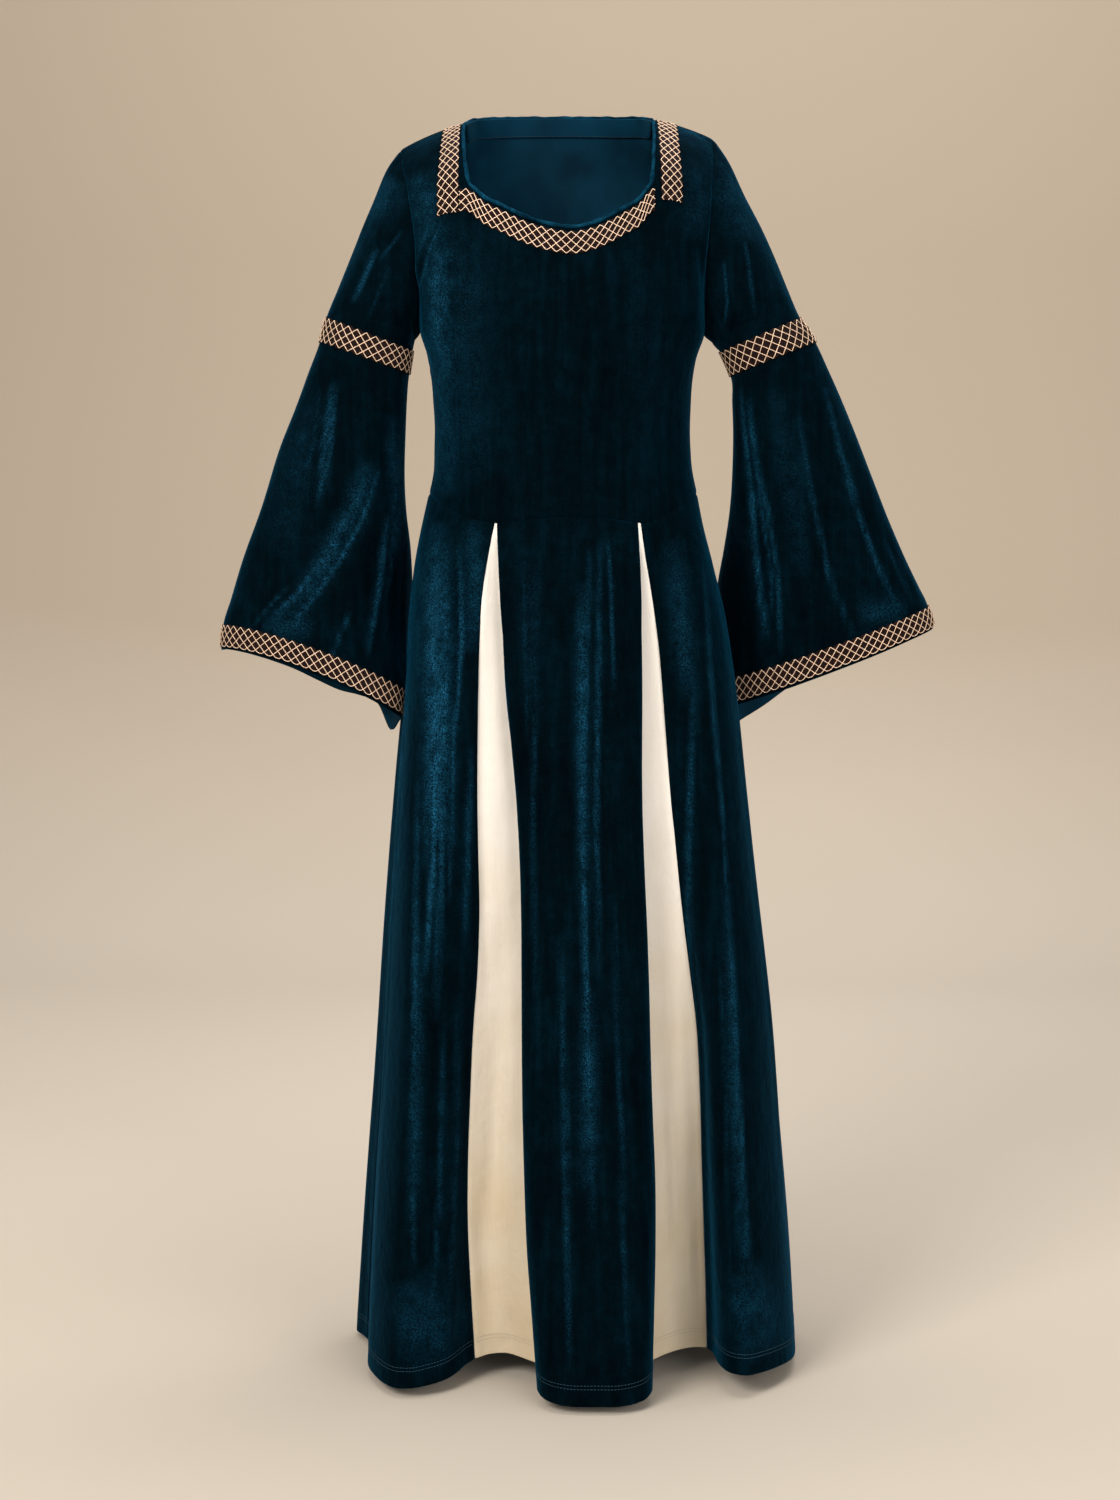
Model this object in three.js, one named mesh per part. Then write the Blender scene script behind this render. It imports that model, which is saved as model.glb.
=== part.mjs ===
import * as THREE from "three";

// Lengths are millimetres. X runs to the wearer's left, the front faces -Y and Z is up.
// The origin lies midway between the shoulder seams, level with their inner ends.
// A drop is a distance below the origin. Left and right are the wearer's.

const VELVET_WALL = 1.8;
const CREAM_WALL = 1.3;
const TRIM_WALL = 1.2;
const FACING_WALL = 1.2;
const SEAM_GAP = 0.3;
// Two edges whose inward ways agree by more than this cosine run straight on.
const STRAIGHT = 0.8;
const LAY_GAP = 0.35;

// Each bodice row below the armpit, and each armhole row from the armpit up to the shoulder tip.
const TORSO_CELLS = 7;
const CHEST_CELLS = 6;
const BAND_ROW = TORSO_CELLS + CHEST_CELLS;
const MARGIN_ROW = BAND_ROW + 1;
const NECK_ROW = BAND_ROW + 2;
const STRAP_CELLS = 4;
const SHOULDER_ROW = NECK_ROW + STRAP_CELLS;

// Columns of the bodice, counted from the wearer's right.
const STRAP_COLUMNS = 6;
const NECK_CELLS = 12;
const TIP_COLUMN = 8;
const RIGHT_NECK = STRAP_COLUMNS;
const LEFT_NECK = STRAP_COLUMNS + NECK_CELLS;
const BODICE_CELLS = LEFT_NECK + STRAP_COLUMNS;
const STRAP_TRIM_COLUMNS = 2;

const NECK_MIDDLE = 13;
const NECK_MARGIN = 5;
const NECK_BAND = 26;
const SIDE_Y = 5;
const STRAP_CROWN = 0.55;
const STRAP_ROLL = 0.7;
const BACK_CROWN = 0.75;
const BACK_ROLL = 0.95;
const SHOULDER_ARCH = 3;

const BACK_NECK_RISE = 12.5;
const BACK_NECK_DEPTH = 78;
const BACK_NECK_ROUND = 0.62;
const BACK_NECK_EVEN = 0.55;
// The wearer's right shoulder lies a little lower than the left.
const RIGHT_SHOULDER_DROP = 4;
// The drop of the back's shoulder blades, where its straps begin.
const BACK_STRAP_FOOT = 80;
// The shares of the way out from the centre where the rows start to bend up to the armholes.
const FRONT_LEVEL = 0.72;
const BACK_LEVEL = 0.6;

// Sections of the bodice: half widths, the front and the back on the centre line, and how far
// each side of the section turns round towards the edge, in degrees.
const TORSO = table("drop right left front back turn", [
  [80, 171, 171, -99, 101, 68],
  [98, 169, 170, -104, 103, 69],
  [129, 165, 168, -111, 105, 71],
  [162, 162, 165, -118, 106, 75],
  [203, 160, 164, -124, 105, 82],
  [238, 160, 165, -127, 102, 89],
  [258, 153, 158, -127, 98, 90],
  [292, 146, 151, -124, 92, 90],
  [343, 143, 148, -117, 85, 90],
  [395, 145, 151.5, -115, 85, 90],
  [452, 150, 157, -118, 90, 90],
]);

// The armhole from the armpit to the shoulder tip: drop and distance out on each side of the
// body, then the depth of its front and of its back edge.
const ARMHOLE = table("rightDrop right leftDrop left front back", [
  [238, 160, 241, 165, 5, 5],
  [222, 160, 223, 164.5, -18, 30],
  [203, 160, 203, 164, -31, 46],
  [183, 161, 182, 164, -39, 56],
  [162, 162, 161, 165, -44, 62],
  [142, 163.5, 141, 167, -47, 65],
  [124, 165, 122, 168.5, -48, 66],
  [104, 168, 100, 170, -47, 64],
  [98, 169, 93, 170.5, -46, 62],
  [82, 172, 75, 171.5, -41, 55],
  [66, 175.5, 57, 172.5, -32, 43],
  [49, 179, 39, 173.5, -17, 24],
  [34, 181, 22, 174, 0, 0],
]);

// Columns of a strap from the armhole to the neck: at the neck corner and at the shoulder seam.
const STRAP = table("corner rightTop leftTop", [
  [1, 181, 174],
  [152, 164, 160],
  [145, 147, 146],
  [136, 131, 132],
  [124, 121.5, 120],
  [111, 112, 109],
  [101, 109, 106],
]);

// The neck edge across the front, a rounded V.
const NECK = table("x drop", [
  [-170, 92],
  [-136, 80],
  [-101, 80.5],
  [-92, 90],
  [-65, 104],
  [-28, 121],
  [13, 129],
  [42, 122],
  [72, 106],
  [90, 95],
  [101, 80.5],
  [136, 80],
  [170, 86],
]);

// The waist seam across the front dips at the tip of each godet.
const WAIST = table("x drop", [
  [-150, 422],
  [-136, 432],
  [-118, 442],
  [-101, 449],
  [-72, 454],
  [-33, 450],
  [6, 447],
  [44, 448],
  [89, 454],
  [108, 449],
  [125, 442],
  [140, 433],
  [157, 422],
]);
const BACK_WAIST = 424;

// Sleeve sections from the armhole down: the outer and the inner end of each oval seen from the
// front, half its depth, how far its middle lies back, how much its front rises, the share of
// its back's hang, and how far its inner end lies back. Each row is one line of points.
const SLEEVE_COLUMNS = "outX outDrop inX inDrop half back rise hang tuck";
const RIGHT_SLEEVE = table(SLEEVE_COLUMNS, [
  [181, 34, 160, 238, 57, 8, 0, 0, 0],
  [195, 54, 167, 246, 58, 8, 0, 0, 0],
  [210, 89, 167.8, 248.5, 58, 8, 0, 0, 0],
  [226, 123, 168.4, 251, 57, 7, 0, 0, 0],
  [240, 157, 169, 253.5, 55, 7, 0, 0, 0],
  [253, 190, 169.5, 256, 52, 6, 0, 0, 0],
  [266, 221, 170, 258.5, 49, 6, 0, 0, 0],
  [270.5, 236, 172, 272, 49, 6, 0, 0, 0],
  [274.5, 250, 174, 286, 49, 6, 0, 0, 0],
  [290, 288, 177, 318, 50, 6, 0, 0, 0],
  [305, 328, 179.5, 355, 51, 6, 0, 0.05, 0],
  [320, 368, 180.5, 395, 53, 7, 1, 0.08, 3],
  [335, 412, 179, 440, 55, 9, 3, 0.15, 14],
  [350, 456, 175, 490, 57, 11, 6, 0.3, 34],
  [366, 500, 174, 545, 60, 14, 10, 0.5, 42],
  [381, 543, 180.5, 600, 62, 17, 14, 0.7, 24],
  [391, 574, 182.5, 648, 64, 20, 17, 0.88, -10],
  [393.5, 600, 183.5, 676, 64, 22, 18, 1, -28],
  [393.5, 603, 183.5, 680, 64, 22, 18, 1, -28],
]);
const LEFT_SLEEVE = table(SLEEVE_COLUMNS, [
  [174, 22, 165, 241, 57, 8, 0, 0, 0],
  [192, 48, 174, 248, 58, 8, 0, 0, 0],
  [210, 86, 176, 250.5, 58, 9, 0, 0, 0],
  [229, 122, 178, 253, 57, 9, 0, 0, 0],
  [246, 157, 180, 255, 55, 9, 0, 0, 0],
  [261, 190, 182, 257, 52, 9, 0, 0, 0],
  [275, 221, 184, 259, 49, 9, 0, 0, 0],
  [285.5, 236, 191, 273, 49, 10, 0, 0, 0],
  [293, 250, 197, 288, 49, 11, 0, 0, 0],
  [310, 288, 199, 318, 50, 14, 0, 0.04, 0],
  [328, 328, 200.5, 355, 51, 18, 0, 0.08, 0],
  [346, 368, 200, 395, 53, 22, 0, 0.12, 4],
  [365, 412, 198, 440, 55, 27, 0, 0.2, 14],
  [383, 456, 193, 490, 57, 32, 0, 0.32, 31],
  [402, 499, 186, 540, 60, 38, 0, 0.46, 45],
  [418, 531, 182, 592, 62, 44, 0, 0.64, 49],
  [429.5, 553, 181, 645, 64, 50, 0, 0.85, 46],
  [437, 576, 181, 676, 64, 52, 0, 1, 45],
  [437, 579, 181, 680, 64, 52, 0, 1, 45],
]);

// How far the back of the hem hangs, from the outer end of the sleeve at 0 to the inner at 1.
const BACK_HANG = table("inward right left", [
  [0, 0, 0],
  [0.4, 4, 0],
  [0.6, 9, 9],
  [0.75, 4, 22],
  [0.85, 2, 28],
  [0.93, 25, 33],
  [1, 0, 0],
]);
const BACK_RISE = 0.35;
const HEM_BOW = 1.3;
const TUCK_BEND = 3;
const BAND_TOP = 6;
const SLEEVE_SEAM = 7;
const BAND_FOOT = 8;
const HEM_TRIM_TOP = 16;
const HEM_TRIM_FOOT = 17;

// Sections of the skirt. Widths are distances from the centre line: the side seam, the seam of
// side panel and godet, and the edge of the centre panel as it shows from the front. Depths are
// those of the side panel's fold, the godet, its two seams and the two centre lines.
const SKIRT = table(
  "drop rSide rFold rGodet rCentre lCentre lGodet lFold lSide",
  [
    [450, 150, 118, 73, 70.6, 87.6, 90, 126, 157],
    [500, 161.5, 127, 83, 70, 90, 97, 134, 167],
    [560, 171, 135, 89, 66, 90, 107, 143, 184],
    [640, 176, 141, 91.5, 60, 89.5, 115, 152, 198],
    [760, 186, 148, 93, 50, 92, 125, 164, 212],
    [900, 195, 156, 91, 44, 97, 139, 177, 230],
    [1050, 205, 162, 100, 43, 101, 157, 188, 248],
    [1220, 218, 170, 105, 38, 107, 164, 195, 264],
    [1415, 229, 178, 97, 25, 104, 171, 203, 279],
  ],
);
const SKIRT_DEPTH = table(
  "rFold rSeam rGodet rTuck centre lTuck lGodet lSeam lFold back tuck",
  [
    [-73, -103, -103, -103.5, -118, -102, -101, -101, -70, 90, 0],
    [-88, -105, -104, -107, -123, -105, -103, -103, -86, 96, 1],
    [-99, -107, -105, -111, -130, -109, -104, -105, -97, 104, 3],
    [-108, -109, -104, -115, -140, -113, -103, -105, -106, 116, 6],
    [-118, -111, -103, -120, -153, -117, -101, -103, -116, 134, 9],
    [-130, -113, -101, -126, -168, -121, -97, -97, -128, 152, 11],
    [-141, -115, -99, -132, -185, -125, -92, -89, -142, 170, 13],
    [-152, -113, -97, -139, -204, -129, -86, -79, -157, 188, 14],
    [-173, -108, -96, -147, -228, -134, -80, -67, -176, 206, 15],
  ],
);
const SKIRT_CELLS = {
  side: 2 * TIP_COLUMN,
  godet: 6,
  centre: 2 * (BODICE_CELLS - 2 * TIP_COLUMN),
  back: 36,
};
const SKIRT_ROWS = 15;
const HEM_SIDE_Y = 14;
const CURVE_STEPS = 24;
const BACK_ROUND = 0.85;
const FOLD_GROWTH = 1.2;
// The angle round the waist that the tip of a godet takes up, in degrees.
const GODET_TIP = 1.2;
const HEM = {
  side: 1424,
  rightFold: 1422,
  leftFold: 1406,
  seam: 1408,
  godet: 1405,
  tuck: 1411,
  bulge: 1417,
  centre: 1424,
  back: 1427,
};

// The points of a section between its seams and folds: the share of the way from one to the
// next across, in depth and in the drop of the hem.
const WAYS = {
  side: { across: 0.24, depth: 0.62, hem: 0.6 },
  fold: { across: 0.58, depth: 0.26, hem: 0.35 },
  godet: { across: 0.42, depth: 0, hem: 0 },
  edge: { across: 1, depth: 0.66, hem: 0.5 },
  tuck: { across: 0, depth: 0.05, hem: 0 },
  bulge: { across: 0, depth: 0.42, hem: 0 },
  shoulder: { across: 0.17, depth: 0.84, hem: 0.6 },
  front: { across: 0.55, depth: 0.98, hem: 1 },
};

// Folds of the back of the skirt: where each crest stands round the back, from the wearer's
// left side at 0 to the right side at 1, and how far it stands out at the hem.
const BACK_FOLDS = table("at out", [
  [0.0, 0],
  [0.09, 7],
  [0.17, -9],
  [0.26, 15],
  [0.35, -14],
  [0.43, 13],
  [0.51, -12],
  [0.6, 17],
  [0.69, -13],
  [0.77, 11],
  [0.84, -10],
  [0.93, 21],
  [1.0, 0],
]);

const FINISHES = {
  velvet: new THREE.MeshStandardMaterial({ color: 0x08303f, roughness: 0.85, metalness: 0 }),
  cream: new THREE.MeshStandardMaterial({ color: 0xddd2ba, roughness: 0.9, metalness: 0 }),
  trim: new THREE.MeshStandardMaterial({ color: 0x8a5a40, roughness: 0.6, metalness: 0.1 }),
};

// The columns of a table under their names.
function table(names, rows) {
  const columns = {};
  names.split(" ").forEach((name, i) => {
    columns[name] = rows.map((row) => row[i]);
  });
  return columns;
}

// A smooth reading of ys against rising xs that never swings past the values of the table.
function read(xs, ys, x) {
  const last = xs.length - 1;
  if (x <= xs[0]) {
    return ys[0];
  }
  if (x >= xs[last]) {
    return ys[last];
  }
  const slope = (i) => (ys[i + 1] - ys[i]) / (xs[i + 1] - xs[i]);
  const tangent = (i) => {
    if (i === 0) {
      return slope(0);
    }
    if (i === last) {
      return slope(last - 1);
    }
    const before = slope(i - 1);
    const after = slope(i);
    if (before * after <= 0) {
      return 0;
    }
    const spanBefore = xs[i] - xs[i - 1];
    const spanAfter = xs[i + 1] - xs[i];
    const heavy = 2 * spanAfter + spanBefore;
    const light = spanAfter + 2 * spanBefore;
    return (heavy + light) / (heavy / before + light / after);
  };
  let i = 0;
  while (xs[i + 1] < x) {
    i += 1;
  }
  const span = xs[i + 1] - xs[i];
  const t = (x - xs[i]) / span;
  const t2 = t * t;
  const t3 = t2 * t;
  const start = (2 * t3 - 3 * t2 + 1) * ys[i] + (t3 - 2 * t2 + t) * span * tangent(i);
  return start + (3 * t2 - 2 * t3) * ys[i + 1] + (t3 - t2) * span * tangent(i + 1);
}

function mix(a, b, t) {
  return a + (b - a) * t;
}

function point(x, y, drop) {
  return new THREE.Vector3(x, y, -drop);
}

// How far a section stands out at the share t of its half width, from 1 on the centre line to
// 0 at the edge, when it turns through the given angle on the way.
function roundness(t, turn) {
  const most = THREE.MathUtils.degToRad(turn);
  const here = Math.asin(THREE.MathUtils.clamp(Math.abs(t), 0, 1) * Math.sin(most));
  return (Math.cos(here) - Math.cos(most)) / (1 - Math.cos(most));
}

// The side edge of a bodice row on one side of the body: the side seam below the armpit and
// the armhole above it.
function edgePoint(row, left, face) {
  if (row <= TORSO_CELLS) {
    const share = row / TORSO_CELLS;
    const foot = left ? WAIST.drop[WAIST.drop.length - 1] : WAIST.drop[0];
    const pit = left ? ARMHOLE.leftDrop[0] : ARMHOLE.rightDrop[0];
    const drop = mix(foot, pit, share);
    const widths = left ? TORSO.left : TORSO.right;
    const out = row === 0 ? widths[widths.length - 1] : read(TORSO.drop, widths, drop);
    return point(left ? out : -out, SIDE_Y, drop);
  }
  const step = row - TORSO_CELLS;
  const out = left ? ARMHOLE.left[step] : ARMHOLE.right[step];
  const drop = left ? ARMHOLE.leftDrop[step] : ARMHOLE.rightDrop[step];
  return point(left ? out : -out, ARMHOLE[face][step], drop);
}

// The angle round the body, in degrees from the front, of a bodice column at the waist. The
// columns meet the tips of the godets, and the back has the same ones.
function waistAngle(column) {
  const tips = godetTips();
  const far = BODICE_CELLS - TIP_COLUMN;
  if (column <= TIP_COLUMN) {
    return mix(-90, tips.right, column / TIP_COLUMN);
  }
  if (column >= far) {
    return mix(tips.left, 90, (column - far) / TIP_COLUMN);
  }
  return mix(tips.right, tips.left, (column - TIP_COLUMN) / (far - TIP_COLUMN));
}

// The angles at which the outer edges of the godets meet the waist.
function godetTips() {
  const last = TORSO.drop.length - 1;
  const right = Math.asin(SKIRT.rGodet[0] / TORSO.right[last]);
  const left = Math.asin(SKIRT.lGodet[0] / TORSO.left[last]);
  return { right: -THREE.MathUtils.radToDeg(right), left: THREE.MathUtils.radToDeg(left) };
}

// The place of a bodice column along X at a row: even angles round the body low down, and the
// lines of the straps and the neck higher up.
function columnX(column, row) {
  const angle = THREE.MathUtils.degToRad(waistAngle(column));
  const left = column > BODICE_CELLS / 2;
  const sign = left ? 1 : -1;
  const index = left ? BODICE_CELLS - column : column;
  const edge = Math.abs(edgePoint(row, left, "front").x);
  if (index === 0) {
    return sign * edge;
  }
  const middle = NECK_MIDDLE;
  const inner = (index - STRAP_COLUMNS) / (NECK_CELLS / 2);
  const corner = STRAP.corner[STRAP_COLUMNS];
  const level = index <= STRAP_COLUMNS ? sign * STRAP.corner[index] : mix(sign * corner, middle, inner);
  if (row <= NECK_ROW) {
    const half = Math.sin(angle) > 0 ? edge : Math.abs(edgePoint(row, Math.sin(angle) > 0, "front").x);
    const climb = THREE.MathUtils.smoothstep(row, 2, BAND_ROW);
    return mix(half * Math.sin(angle), level, climb);
  }
  const top = left ? STRAP.leftTop : STRAP.rightTop;
  const share = (row - NECK_ROW) / STRAP_CELLS;
  return mix(level, sign * top[Math.min(index, STRAP_COLUMNS)], share);
}

// How far towards its top place a strap column has moved at a share of the strap's height; the
// neck edge moves first and so rounds the corner of the neck.
function strapShift(column, share) {
  const index = Math.min(column, BODICE_CELLS - column);
  return index === STRAP_COLUMNS ? 1 - Math.pow(1 - share, 3) : share;
}

// A point of the front of the bodice up to the neck edge.
function frontLow(column, row) {
  const x = columnX(column, row);
  const left = x > 0;
  const edge = edgePoint(row, left, "front");
  if (column === 0 || column === BODICE_CELLS) {
    return edge;
  }
  const level = (at) => Math.abs(edgePoint(at, left, "front").x);
  const share = Math.abs(x) / level(row);
  let drop;
  if (row <= TORSO_CELLS) {
    const pit = left ? ARMHOLE.leftDrop[0] : ARMHOLE.rightDrop[0];
    drop = mix(read(WAIST.x, WAIST.drop, x), pit, row / TORSO_CELLS);
  } else {
    const neck = read(NECK.x, NECK.drop, x);
    const band = neck + NECK_MARGIN + NECK_BAND;
    const pit = left ? ARMHOLE.leftDrop[0] : ARMHOLE.rightDrop[0];
    if (row <= BAND_ROW) {
      drop = mix(pit, band, (row - TORSO_CELLS) / CHEST_CELLS);
    } else {
      drop = row === MARGIN_ROW ? neck + NECK_MARGIN : neck;
    }
    const near = THREE.MathUtils.smoothstep(share, FRONT_LEVEL, 1);
    drop = mix(drop, -edge.z, near);
  }
  const turn = read(TORSO.drop, TORSO.turn, -edge.z);
  const front = read(TORSO.drop, TORSO.front, drop);
  return point(x, mix(edge.y, front, roundness(share, turn)), drop);
}

function shoulderPoint(column) {
  const left = column > BODICE_CELLS / 2;
  const index = left ? BODICE_CELLS - column : column;
  const top = left ? STRAP.leftTop : STRAP.rightTop;
  const tip = edgePoint(SHOULDER_ROW, left, "front");
  const neck = top[STRAP_COLUMNS];
  const share = (top[index] - neck) / (top[0] - neck);
  const inner = left ? 0 : RIGHT_SHOULDER_DROP;
  const arch = SHOULDER_ARCH * 4 * share * (1 - share);
  return point(left ? top[index] : -top[index], 0, mix(inner, -tip.z, share) - arch);
}

// A point on the way from a low point to a top point that first climbs and then leans over.
function crowned(low, top, share, crown, roll) {
  const climb = mix(share, Math.sin((share * Math.PI) / 2), crown);
  const lean = mix(share, 1 - Math.cos((share * Math.PI) / 2), roll);
  return new THREE.Vector3(
    mix(low.x, top.x, share),
    mix(low.y, top.y, lean),
    mix(low.z, top.z, climb),
  );
}

function frontPoint(column, row) {
  if (row <= NECK_ROW) {
    return frontLow(column, row);
  }
  if (column === 0 || column === BODICE_CELLS) {
    return edgePoint(row, column > 0, "front");
  }
  const share = (row - NECK_ROW) / STRAP_CELLS;
  const low = frontLow(column, NECK_ROW);
  const made = crowned(low, shoulderPoint(column), share, STRAP_CROWN, STRAP_ROLL);
  made.x = mix(low.x, shoulderPoint(column).x, strapShift(column, share));
  return made;
}

// The back neck rises a little from one shoulder seam to the other.
function backNeckPoint(column) {
  const share = (column - RIGHT_NECK) / NECK_CELLS;
  const right = shoulderPoint(RIGHT_NECK);
  const left = shoulderPoint(LEFT_NECK);
  const around = Math.PI * share;
  const deep = Math.pow(Math.sin(around), BACK_NECK_ROUND);
  const across = mix(share, (1 - Math.cos(around)) / 2, BACK_NECK_EVEN);
  const base = mix(right.z, left.z, share);
  return new THREE.Vector3(
    mix(right.x, left.x, across),
    BACK_NECK_DEPTH * deep,
    mix(base, BACK_NECK_RISE, Math.sqrt(Math.sin(around))),
  );
}

function backTop(column) {
  if (column <= RIGHT_NECK || column >= LEFT_NECK) {
    return shoulderPoint(column);
  }
  return backNeckPoint(column);
}

function backLow(column, row) {
  const x = columnX(column, row);
  const left = x > 0;
  const edge = edgePoint(row, left, "back");
  if (column === 0 || column === BODICE_CELLS) {
    return edge;
  }
  const share = Math.abs(x) / Math.abs(edge.x);
  const foot = mix(-edgePoint(0, left, "back").z, BACK_WAIST, 1 - share * share);
  const pit = left ? ARMHOLE.leftDrop[0] : ARMHOLE.rightDrop[0];
  const top = mix(BACK_STRAP_FOOT, -edgePoint(NECK_ROW, left, "back").z, share);
  let drop;
  if (row <= TORSO_CELLS) {
    drop = mix(foot, pit, row / TORSO_CELLS);
  } else {
    drop = mix(pit, top, (row - TORSO_CELLS) / (NECK_ROW - TORSO_CELLS));
    const near = THREE.MathUtils.smoothstep(share, BACK_LEVEL, 1);
    drop = mix(drop, -edge.z, near);
  }
  const turn = read(TORSO.drop, TORSO.turn, -edge.z);
  const back = read(TORSO.drop, TORSO.back, drop);
  return point(x, mix(edge.y, back, roundness(share, turn)), drop);
}

function backPoint(column, row) {
  if (row <= NECK_ROW) {
    return backLow(column, row);
  }
  if (column === 0 || column === BODICE_CELLS) {
    return edgePoint(row, column > 0, "back");
  }
  const share = (row - NECK_ROW) / STRAP_CELLS;
  const low = backLow(column, NECK_ROW);
  const top = backTop(column);
  const lean = Math.abs(top.y - low.y) / (Math.abs(top.y - low.y) + Math.abs(top.z - low.z));
  return crowned(low, top, share, BACK_CROWN * lean, BACK_ROLL);
}

// A point of a sleeve. Columns run from the armpit up the front to the outer side and down the
// back. The sections change from the shape of the armhole to an oval on the way to the band.
function sleevePoint(column, row, left) {
  const turns = SHOULDER_ROW - TORSO_CELLS;
  const place = column % (2 * turns);
  const step = place <= turns ? place : 2 * turns - place;
  const front = place <= turns;
  const hole = edgePoint(TORSO_CELLS + step, left, front ? "front" : "back");
  if (row === 0) {
    return hole;
  }
  const sleeve = left ? LEFT_SLEEVE : RIGHT_SLEEVE;
  const pit = edgePoint(TORSO_CELLS, left, "front");
  const tip = edgePoint(SHOULDER_ROW, left, "front");
  const low = (hole.z - tip.z) / (pit.z - tip.z);
  const bend = Math.abs(hole.x) - mix(Math.abs(tip.x), Math.abs(pit.x), low);
  const angle = (Math.PI * step) / turns;
  const forward = front ? Math.sin(angle) : -Math.sin(angle);
  const oval = THREE.MathUtils.smoothstep(row, 0, BAND_TOP);
  const inward = mix(low, (1 + Math.cos(angle)) / 2, oval);
  const out = mix(sleeve.outX[row], sleeve.inX[row], inward) + bend * (1 - oval);
  const bow = Math.pow(Math.abs(forward), HEM_BOW);
  const lift = sleeve.rise[row] * bow * (forward > 0 ? 1 : BACK_RISE);
  const hanging = read(BACK_HANG.inward, left ? BACK_HANG.left : BACK_HANG.right, inward);
  const sag = (forward < 0 ? sleeve.hang[row] * hanging : 0) - lift;
  const drop = mix(sleeve.outDrop[row], sleeve.inDrop[row], inward) + sag;
  const behind = sleeve.back[row] + sleeve.tuck[row] * Math.pow(inward, TUCK_BEND);
  const y = mix(hole.y, behind - sleeve.half[row] * forward, oval);
  return point(left ? out : -out, y, drop);
}

// The waist ring at an angle from the front, positive towards the wearer's left.
function waistPoint(angle) {
  const left = Math.sin(angle) > 0;
  const last = TORSO.drop.length - 1;
  const half = left ? TORSO.left[last] : TORSO.right[last];
  const x = half * Math.sin(angle);
  const outward = Math.cos(angle);
  if (outward >= 0) {
    return point(x, mix(SIDE_Y, TORSO.front[last], outward), read(WAIST.x, WAIST.drop, x));
  }
  const side = left ? WAIST.drop[WAIST.drop.length - 1] : WAIST.drop[0];
  return point(x, mix(SIDE_Y, TORSO.back[last], -outward), mix(side, BACK_WAIST, outward * outward));
}

// A point between two others of a section: a share of the way across, in depth and in hem drop.
function between(from, to, way) {
  return [
    mix(from[0], to[0], way.across),
    mix(from[1], to[1], way.depth),
    mix(from[2], to[2], way.hem),
  ];
}

// The seams and folds of the skirt at one section, going round from the wearer's right side by
// the front; the third number of each is the drop of the hem there.
function skirtSection(i) {
  const s = (name) => SKIRT[name][i];
  const d = (name) => SKIRT_DEPTH[name][i];
  const share = i / (SKIRT.drop.length - 1);
  const sideY = mix(SIDE_Y, HEM_SIDE_Y, share);
  const middle = (s("lCentre") - s("rCentre")) / 2;
  const keys = [];
  const add = (x, y, hem) => keys.push(new THREE.Vector3(x, y, hem));
  const side = (sign, wide, fold, seam, foldY, seamY, hem) => [
    [sign * wide, sideY, HEM.side],
    between([sign * wide, sideY, HEM.side], [sign * fold, foldY, hem], WAYS.side),
    [sign * fold, foldY, hem],
    between([sign * fold, foldY, hem], [sign * seam, seamY, HEM.seam], WAYS.fold),
    [sign * seam, seamY, HEM.seam],
  ];
  const godet = (sign, seam, edge, godetY, tuckY, centreY) => [
    between([sign * seam, godetY, HEM.godet], [sign * edge, godetY, HEM.godet], WAYS.godet),
    between([sign * edge, godetY, HEM.godet], [sign * edge, tuckY, HEM.tuck], WAYS.edge),
    between([sign * (edge - d("tuck")), tuckY, HEM.tuck], [0, centreY, 0], WAYS.tuck),
    between([sign * edge, tuckY, HEM.bulge], [0, centreY, 0], WAYS.bulge),
    between([sign * edge, tuckY, HEM.bulge], [middle, centreY, HEM.centre], WAYS.shoulder),
    between([sign * edge, tuckY, HEM.bulge], [middle, centreY, HEM.centre], WAYS.front),
  ];
  side(-1, s("rSide"), s("rFold"), s("rGodet"), d("rFold"), d("rSeam"), HEM.rightFold).forEach(
    (k) => add(...k),
  );
  godet(-1, s("rGodet"), s("rCentre"), d("rGodet"), d("rTuck"), d("centre")).forEach((k) => add(...k));
  add(middle, d("centre"), HEM.centre);
  godet(1, s("lGodet"), s("lCentre"), d("lGodet"), d("lTuck"), d("centre"))
    .reverse()
    .forEach((k) => add(...k));
  side(1, s("lSide"), s("lFold"), s("lGodet"), d("lFold"), d("lSeam"), HEM.leftFold)
    .reverse()
    .forEach((k) => add(...k));
  const backMiddle = (s("lSide") - s("rSide")) / 2;
  const half = (s("lSide") + s("rSide")) / 2;
  for (let fold = 1; fold < BACK_FOLDS.at.length - 1; fold += 1) {
    const angle = Math.PI * BACK_FOLDS.at[fold];
    const grow = 1 + (BACK_FOLDS.out[fold] * Math.pow(share, FOLD_GROWTH)) / half;
    const x = backMiddle + half * Math.cos(angle) * grow;
    add(x, mix(sideY, d("back"), Math.pow(Math.sin(angle), BACK_ROUND)) * grow, HEM.back);
  }
  return keys;
}

// The keys that bound each panel of the skirt, and its number of cells.
const SKIRT_PANELS = [
  { name: "skirt_side_right", from: 0, to: 4, cells: SKIRT_CELLS.side },
  { name: "godet_right", from: 4, to: 7, cells: SKIRT_CELLS.godet },
  { name: "skirt_centre", from: 7, to: 15, cells: SKIRT_CELLS.centre },
  { name: "godet_left", from: 15, to: 18, cells: SKIRT_CELLS.godet },
  { name: "skirt_side_left", from: 18, to: 22, cells: SKIRT_CELLS.side },
  { name: "skirt_back", from: 22, to: 34, cells: SKIRT_CELLS.back },
];

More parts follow.
